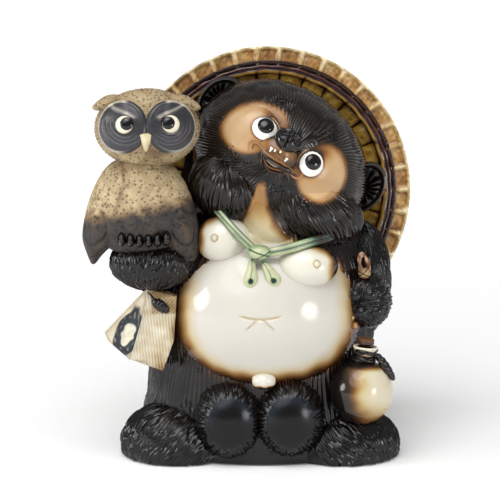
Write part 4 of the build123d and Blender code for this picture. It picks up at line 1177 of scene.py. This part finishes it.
def plate(name, outline, front, thick, fine):
    """A flat piece of the book from its outline in mm, its front meshed in squares of the fine size in mm."""
    corners = np.array(outline, float)
    low, high = corners.min(axis=0), corners.max(axis=0)
    counts = np.maximum(((high - low) / fine).astype(int), 2)
    sheet, u, v = grid(name, *counts.tolist())
    level = low[1] + (v + 1) / 2 * (high[1] - low[1])
    starts, ends = [], []
    edges = list(zip(corners, np.roll(corners, -1, axis=0)))
    for height in level:
        height = min(max(height, low[1] + 0.01), high[1] - 0.01)
        cuts = [a[0] + (height - a[1]) / (b[1] - a[1]) * (b[0] - a[0])
                for a, b in edges if (a[1] - height) * (b[1] - height) < 0]
        starts.append(min(cuts))
        ends.append(max(cuts))
    starts, ends = np.array(starts), np.array(ends)
    across = starts + (u + 1) / 2 * (ends - starts)
    return sheet, across, level, np.stack([across, np.full_like(across, front + thick), level], axis=1)


straight_back = np.array((0, 1, 0))
page_outline = ((0, 0), (18.1, -4.5), (16.3, -31.5), (9.5, -50), (-9.7, -43), (0, -7.5))
pages, across, up, places = plate("book_pages", page_outline, 0, 0, 0.5)
ribs = 0.5 + 0.5 * np.cos(2 * math.pi * (across + 0.10 * up) / 1.75)
band = smooth(-15.5, -14.5, up) * smooth(-1.0, -2.0, up) * smooth(2.5, 3.5, across)
weave = 0.5 + 0.5 * np.sin(across * 2.6) * np.sin(up * 2.6)
places[:, 1] = 0.15 + 0.50 * (1 - ribs) * (1 - band) + 0.7 * (1 - weave) * band
points = places / 1000 + book_place
brown = smooth(-22, -46, up + 0.9 * across + 2 * ripple(points, 12, 101)) * smooth(1, 9, across)
brown = np.clip(brown + smooth(12.5, 17, across) * smooth(-8, -26, up), 0, 1)
light = 0.95 - 0.20 * (1 - ribs) * (1 - band) - band * (0.22 + 0.25 * (1 - weave)) - 0.42 * brown
two_sided(pages, points, 0.0126 * straight_back, np.clip(light - 0.07 * ripple(points, 8, 102), 0.1, 1),
          page_stops)
finish(pages, page_glaze, "book_pages")

cover_outline = ((0, 0), (-25.2, -26.5), (-23.2, -31.5), (-10.1, -43.5), (0, -7.5))
cover, across, up, places = plate("book_cover", cover_outline, 0, 0, 0.5)
edge, corners = 0, np.array(cover_outline)
for (x0, z0), (x1, z1) in zip(corners, np.roll(corners, -1, axis=0)):
    length = math.hypot(x1 - x0, z1 - z0)
    gap = np.abs((across - x0) * (z1 - z0) - (up - z0) * (x1 - x0)) / length
    edge = np.maximum(edge, near(gap, 1.3))
places[:, 1] = 0.15 + 0.3 * edge
points = places / 1000 + book_place
middle = np.array((-11.2, -27.0))
lean = math.radians(-24)
along = (across - middle[0]) * math.cos(lean) + (up - middle[1]) * math.sin(lean)
over = (up - middle[1]) * math.cos(lean) - (across - middle[0]) * math.sin(lean)
strokes = smooth(1.06, 0.96, np.hypot(along / 7.6, over / 14.5) + 0.05 * ripple(points, 7, 105))
strokes = np.maximum(strokes, smooth(2.4, 1.6, np.abs(along + 1.5)) * smooth(8, 11, over)
                     * smooth(19, 15, over))
strokes = strokes * (1 - 0.45 * smooth(0.3, 0.8, ripple(points, 3.5, 106)))
light = 0.92 - 0.25 * edge + 0.06 * ripple(points, 9, 103) - 0.10 * smooth(-30, -40, up) - 1.5 * strokes
cover_stops = ((-0.6, "#22262b"), (-0.1, "#4b5156"), (0.3, "#8f8c80")) + page_stops[3:]
two_sided(cover, points, 0.0031 * straight_back, light, cover_stops)
finish(cover, page_glaze, "book_cover")

# Panel on the cover: a dark brush frame round a bare cream leaf
brush_stops = ((0.0, "#1a1d21"), (0.3, "#3a4046"), (0.6, "#8f8b7c"), (0.9, "#d9d2bd"))
label_outline = ((-3.9, -11), (-18.1, -25), (-17.2, -32), (-10.8, -38), (-3.9, -21))
label, across, up, places = plate("book_label", label_outline, 0, 0, 0.35)
along = (across - middle[0]) * math.cos(lean) + (up - middle[1]) * math.sin(lean)
over = (up - middle[1]) * math.cos(lean) - (across - middle[0]) * math.sin(lean)
reach = np.hypot(along / 3.7, over / 7.4)
wander = 0.10 * np.sin(5 * np.arctan2(over, along))
leaf = smooth(1.08, 0.94, reach + wander)
streak = smooth(0.25, 0.55, np.sin(2.4 * along + 0.8 * over)) * smooth(1.25, 1.5, reach)
places[:, 1] = -1.1 + 0.45 * leaf + 0.25 * streak
points = places / 1000 + book_place
light = 0.16 + 0.74 * leaf + 0.35 * streak * (1 - leaf) + 0.10 * ripple(points, 4, 104) * (1 - leaf)
two_sided(label, points, 0.0007 * straight_back, light, brush_stops)
finish(label, grey_slip, "book_label")

# Tie of the book: a black knot of cord and its end, laid over the pages
tie_form = Form((-61.0, -50.2, 96.4), (6.2, 3.4, 3.6), (0, 38, 0))
tie, shares, *_ = clay_ball("book_tie", 84, 54)
wrap = np.clip(sum(near(shares[:, 0] + 0.35 * shares[:, 2] - spot, 0.09) for spot in (-0.5, 0.0, 0.5)), 0, 1)
shape(tie, tie_form.place(shares * (1 - 0.12 * wrap)[:, None]), wrap, ((0, "#141012"), (1, "#050505")))
finish(tie, pupil_glaze, "book_tie")
end = string("tie_end", ((-68.6, -51.0, 105.2), (-65.8, -51.8, 102.0), (-63.2, -52.4, 98.6)), 1.1,
             colour="#141315")
finish(end, pupil_glaze)

# Studio: a pale floor that glows, painted light that is dim by the figure and brighter outwards, soft round
# lights, a wide sun and a camera a little above
bpy.ops.mesh.primitive_plane_add(size=60, location=(0, 0, -0.0004))
ground = bpy.context.object
ground.name = "studio_floor"
paper, paper_place = blank("glowing white paper")
# The paper glows: painted light, dim by the figure and brighter outwards.
paper_reach = add(paper, "ShaderNodeVectorMath", {0: paper_place}, operation="LENGTH")
paper_glow = add(paper, "ShaderNodeMapRange", {
    "Value": paper_reach.outputs["Value"], "From Min": 0.15, "From Max": 1.2, "To Min": 0.10, "To Max": 0.50})
coat(paper, {
    "Base Color": (0.93, 0.93, 0.93, 1), "Roughness": 0.9, "Emission Color": (1, 1, 1, 1),
    "Emission Strength": paper_glow})
ground.data.materials.append(paper)

world = bpy.data.worlds.new("soft studio")
bpy.context.scene.world = world
world.use_nodes = True
world.node_tree.nodes["Background"].inputs["Color"].default_value = (1, 1, 1, 1)
world.node_tree.nodes["Background"].inputs["Strength"].default_value = 0.34
aim = Vector((-0.0074, -0.010, 0.124))


def hang(name, thing, place, way):
    """A lamp or a camera in the scene, at its place in metres and facing its way."""
    made = bpy.data.objects.new(name, thing)
    bpy.context.scene.collection.objects.link(made)
    made.location = place
    made.rotation_euler = way.to_track_quat("-Z", "Y").to_euler()
    return made


for name, place, size, power in (
        ("left_box", (-0.95, -0.30, 0.30), 0.40, 3.2), ("right_box", (0.70, -0.75, 0.16), 0.32, 2.2),
        ("top_box", (-0.10, -0.45, 1.05), 0.80, 5.5)):
    light = bpy.data.lights.new(name, "AREA")
    light.shape = "DISK"
    light.size = size
    light.energy = power
    hang(name, light, place, aim - Vector(place))
sky = bpy.data.lights.new("soft_sun", "SUN")
sky.energy = 1.05
sky.angle = math.radians(50)
hang("soft_sun", sky, (0, 0, 0), Vector((0.35, 0.62, -0.80)))
camera = bpy.data.cameras.new("camera")
camera.lens = 127.7
camera.sensor_width = 36
camera_reach = 1.1                    # metres from the middle of the figure
raised = math.radians(9)
eye_place = aim + camera_reach * Vector((0, -math.cos(raised), math.sin(raised)))
eye = hang("camera", camera, eye_place, aim - eye_place)
bpy.context.scene.camera = eye
bpy.context.scene.view_settings.view_transform = "Standard"
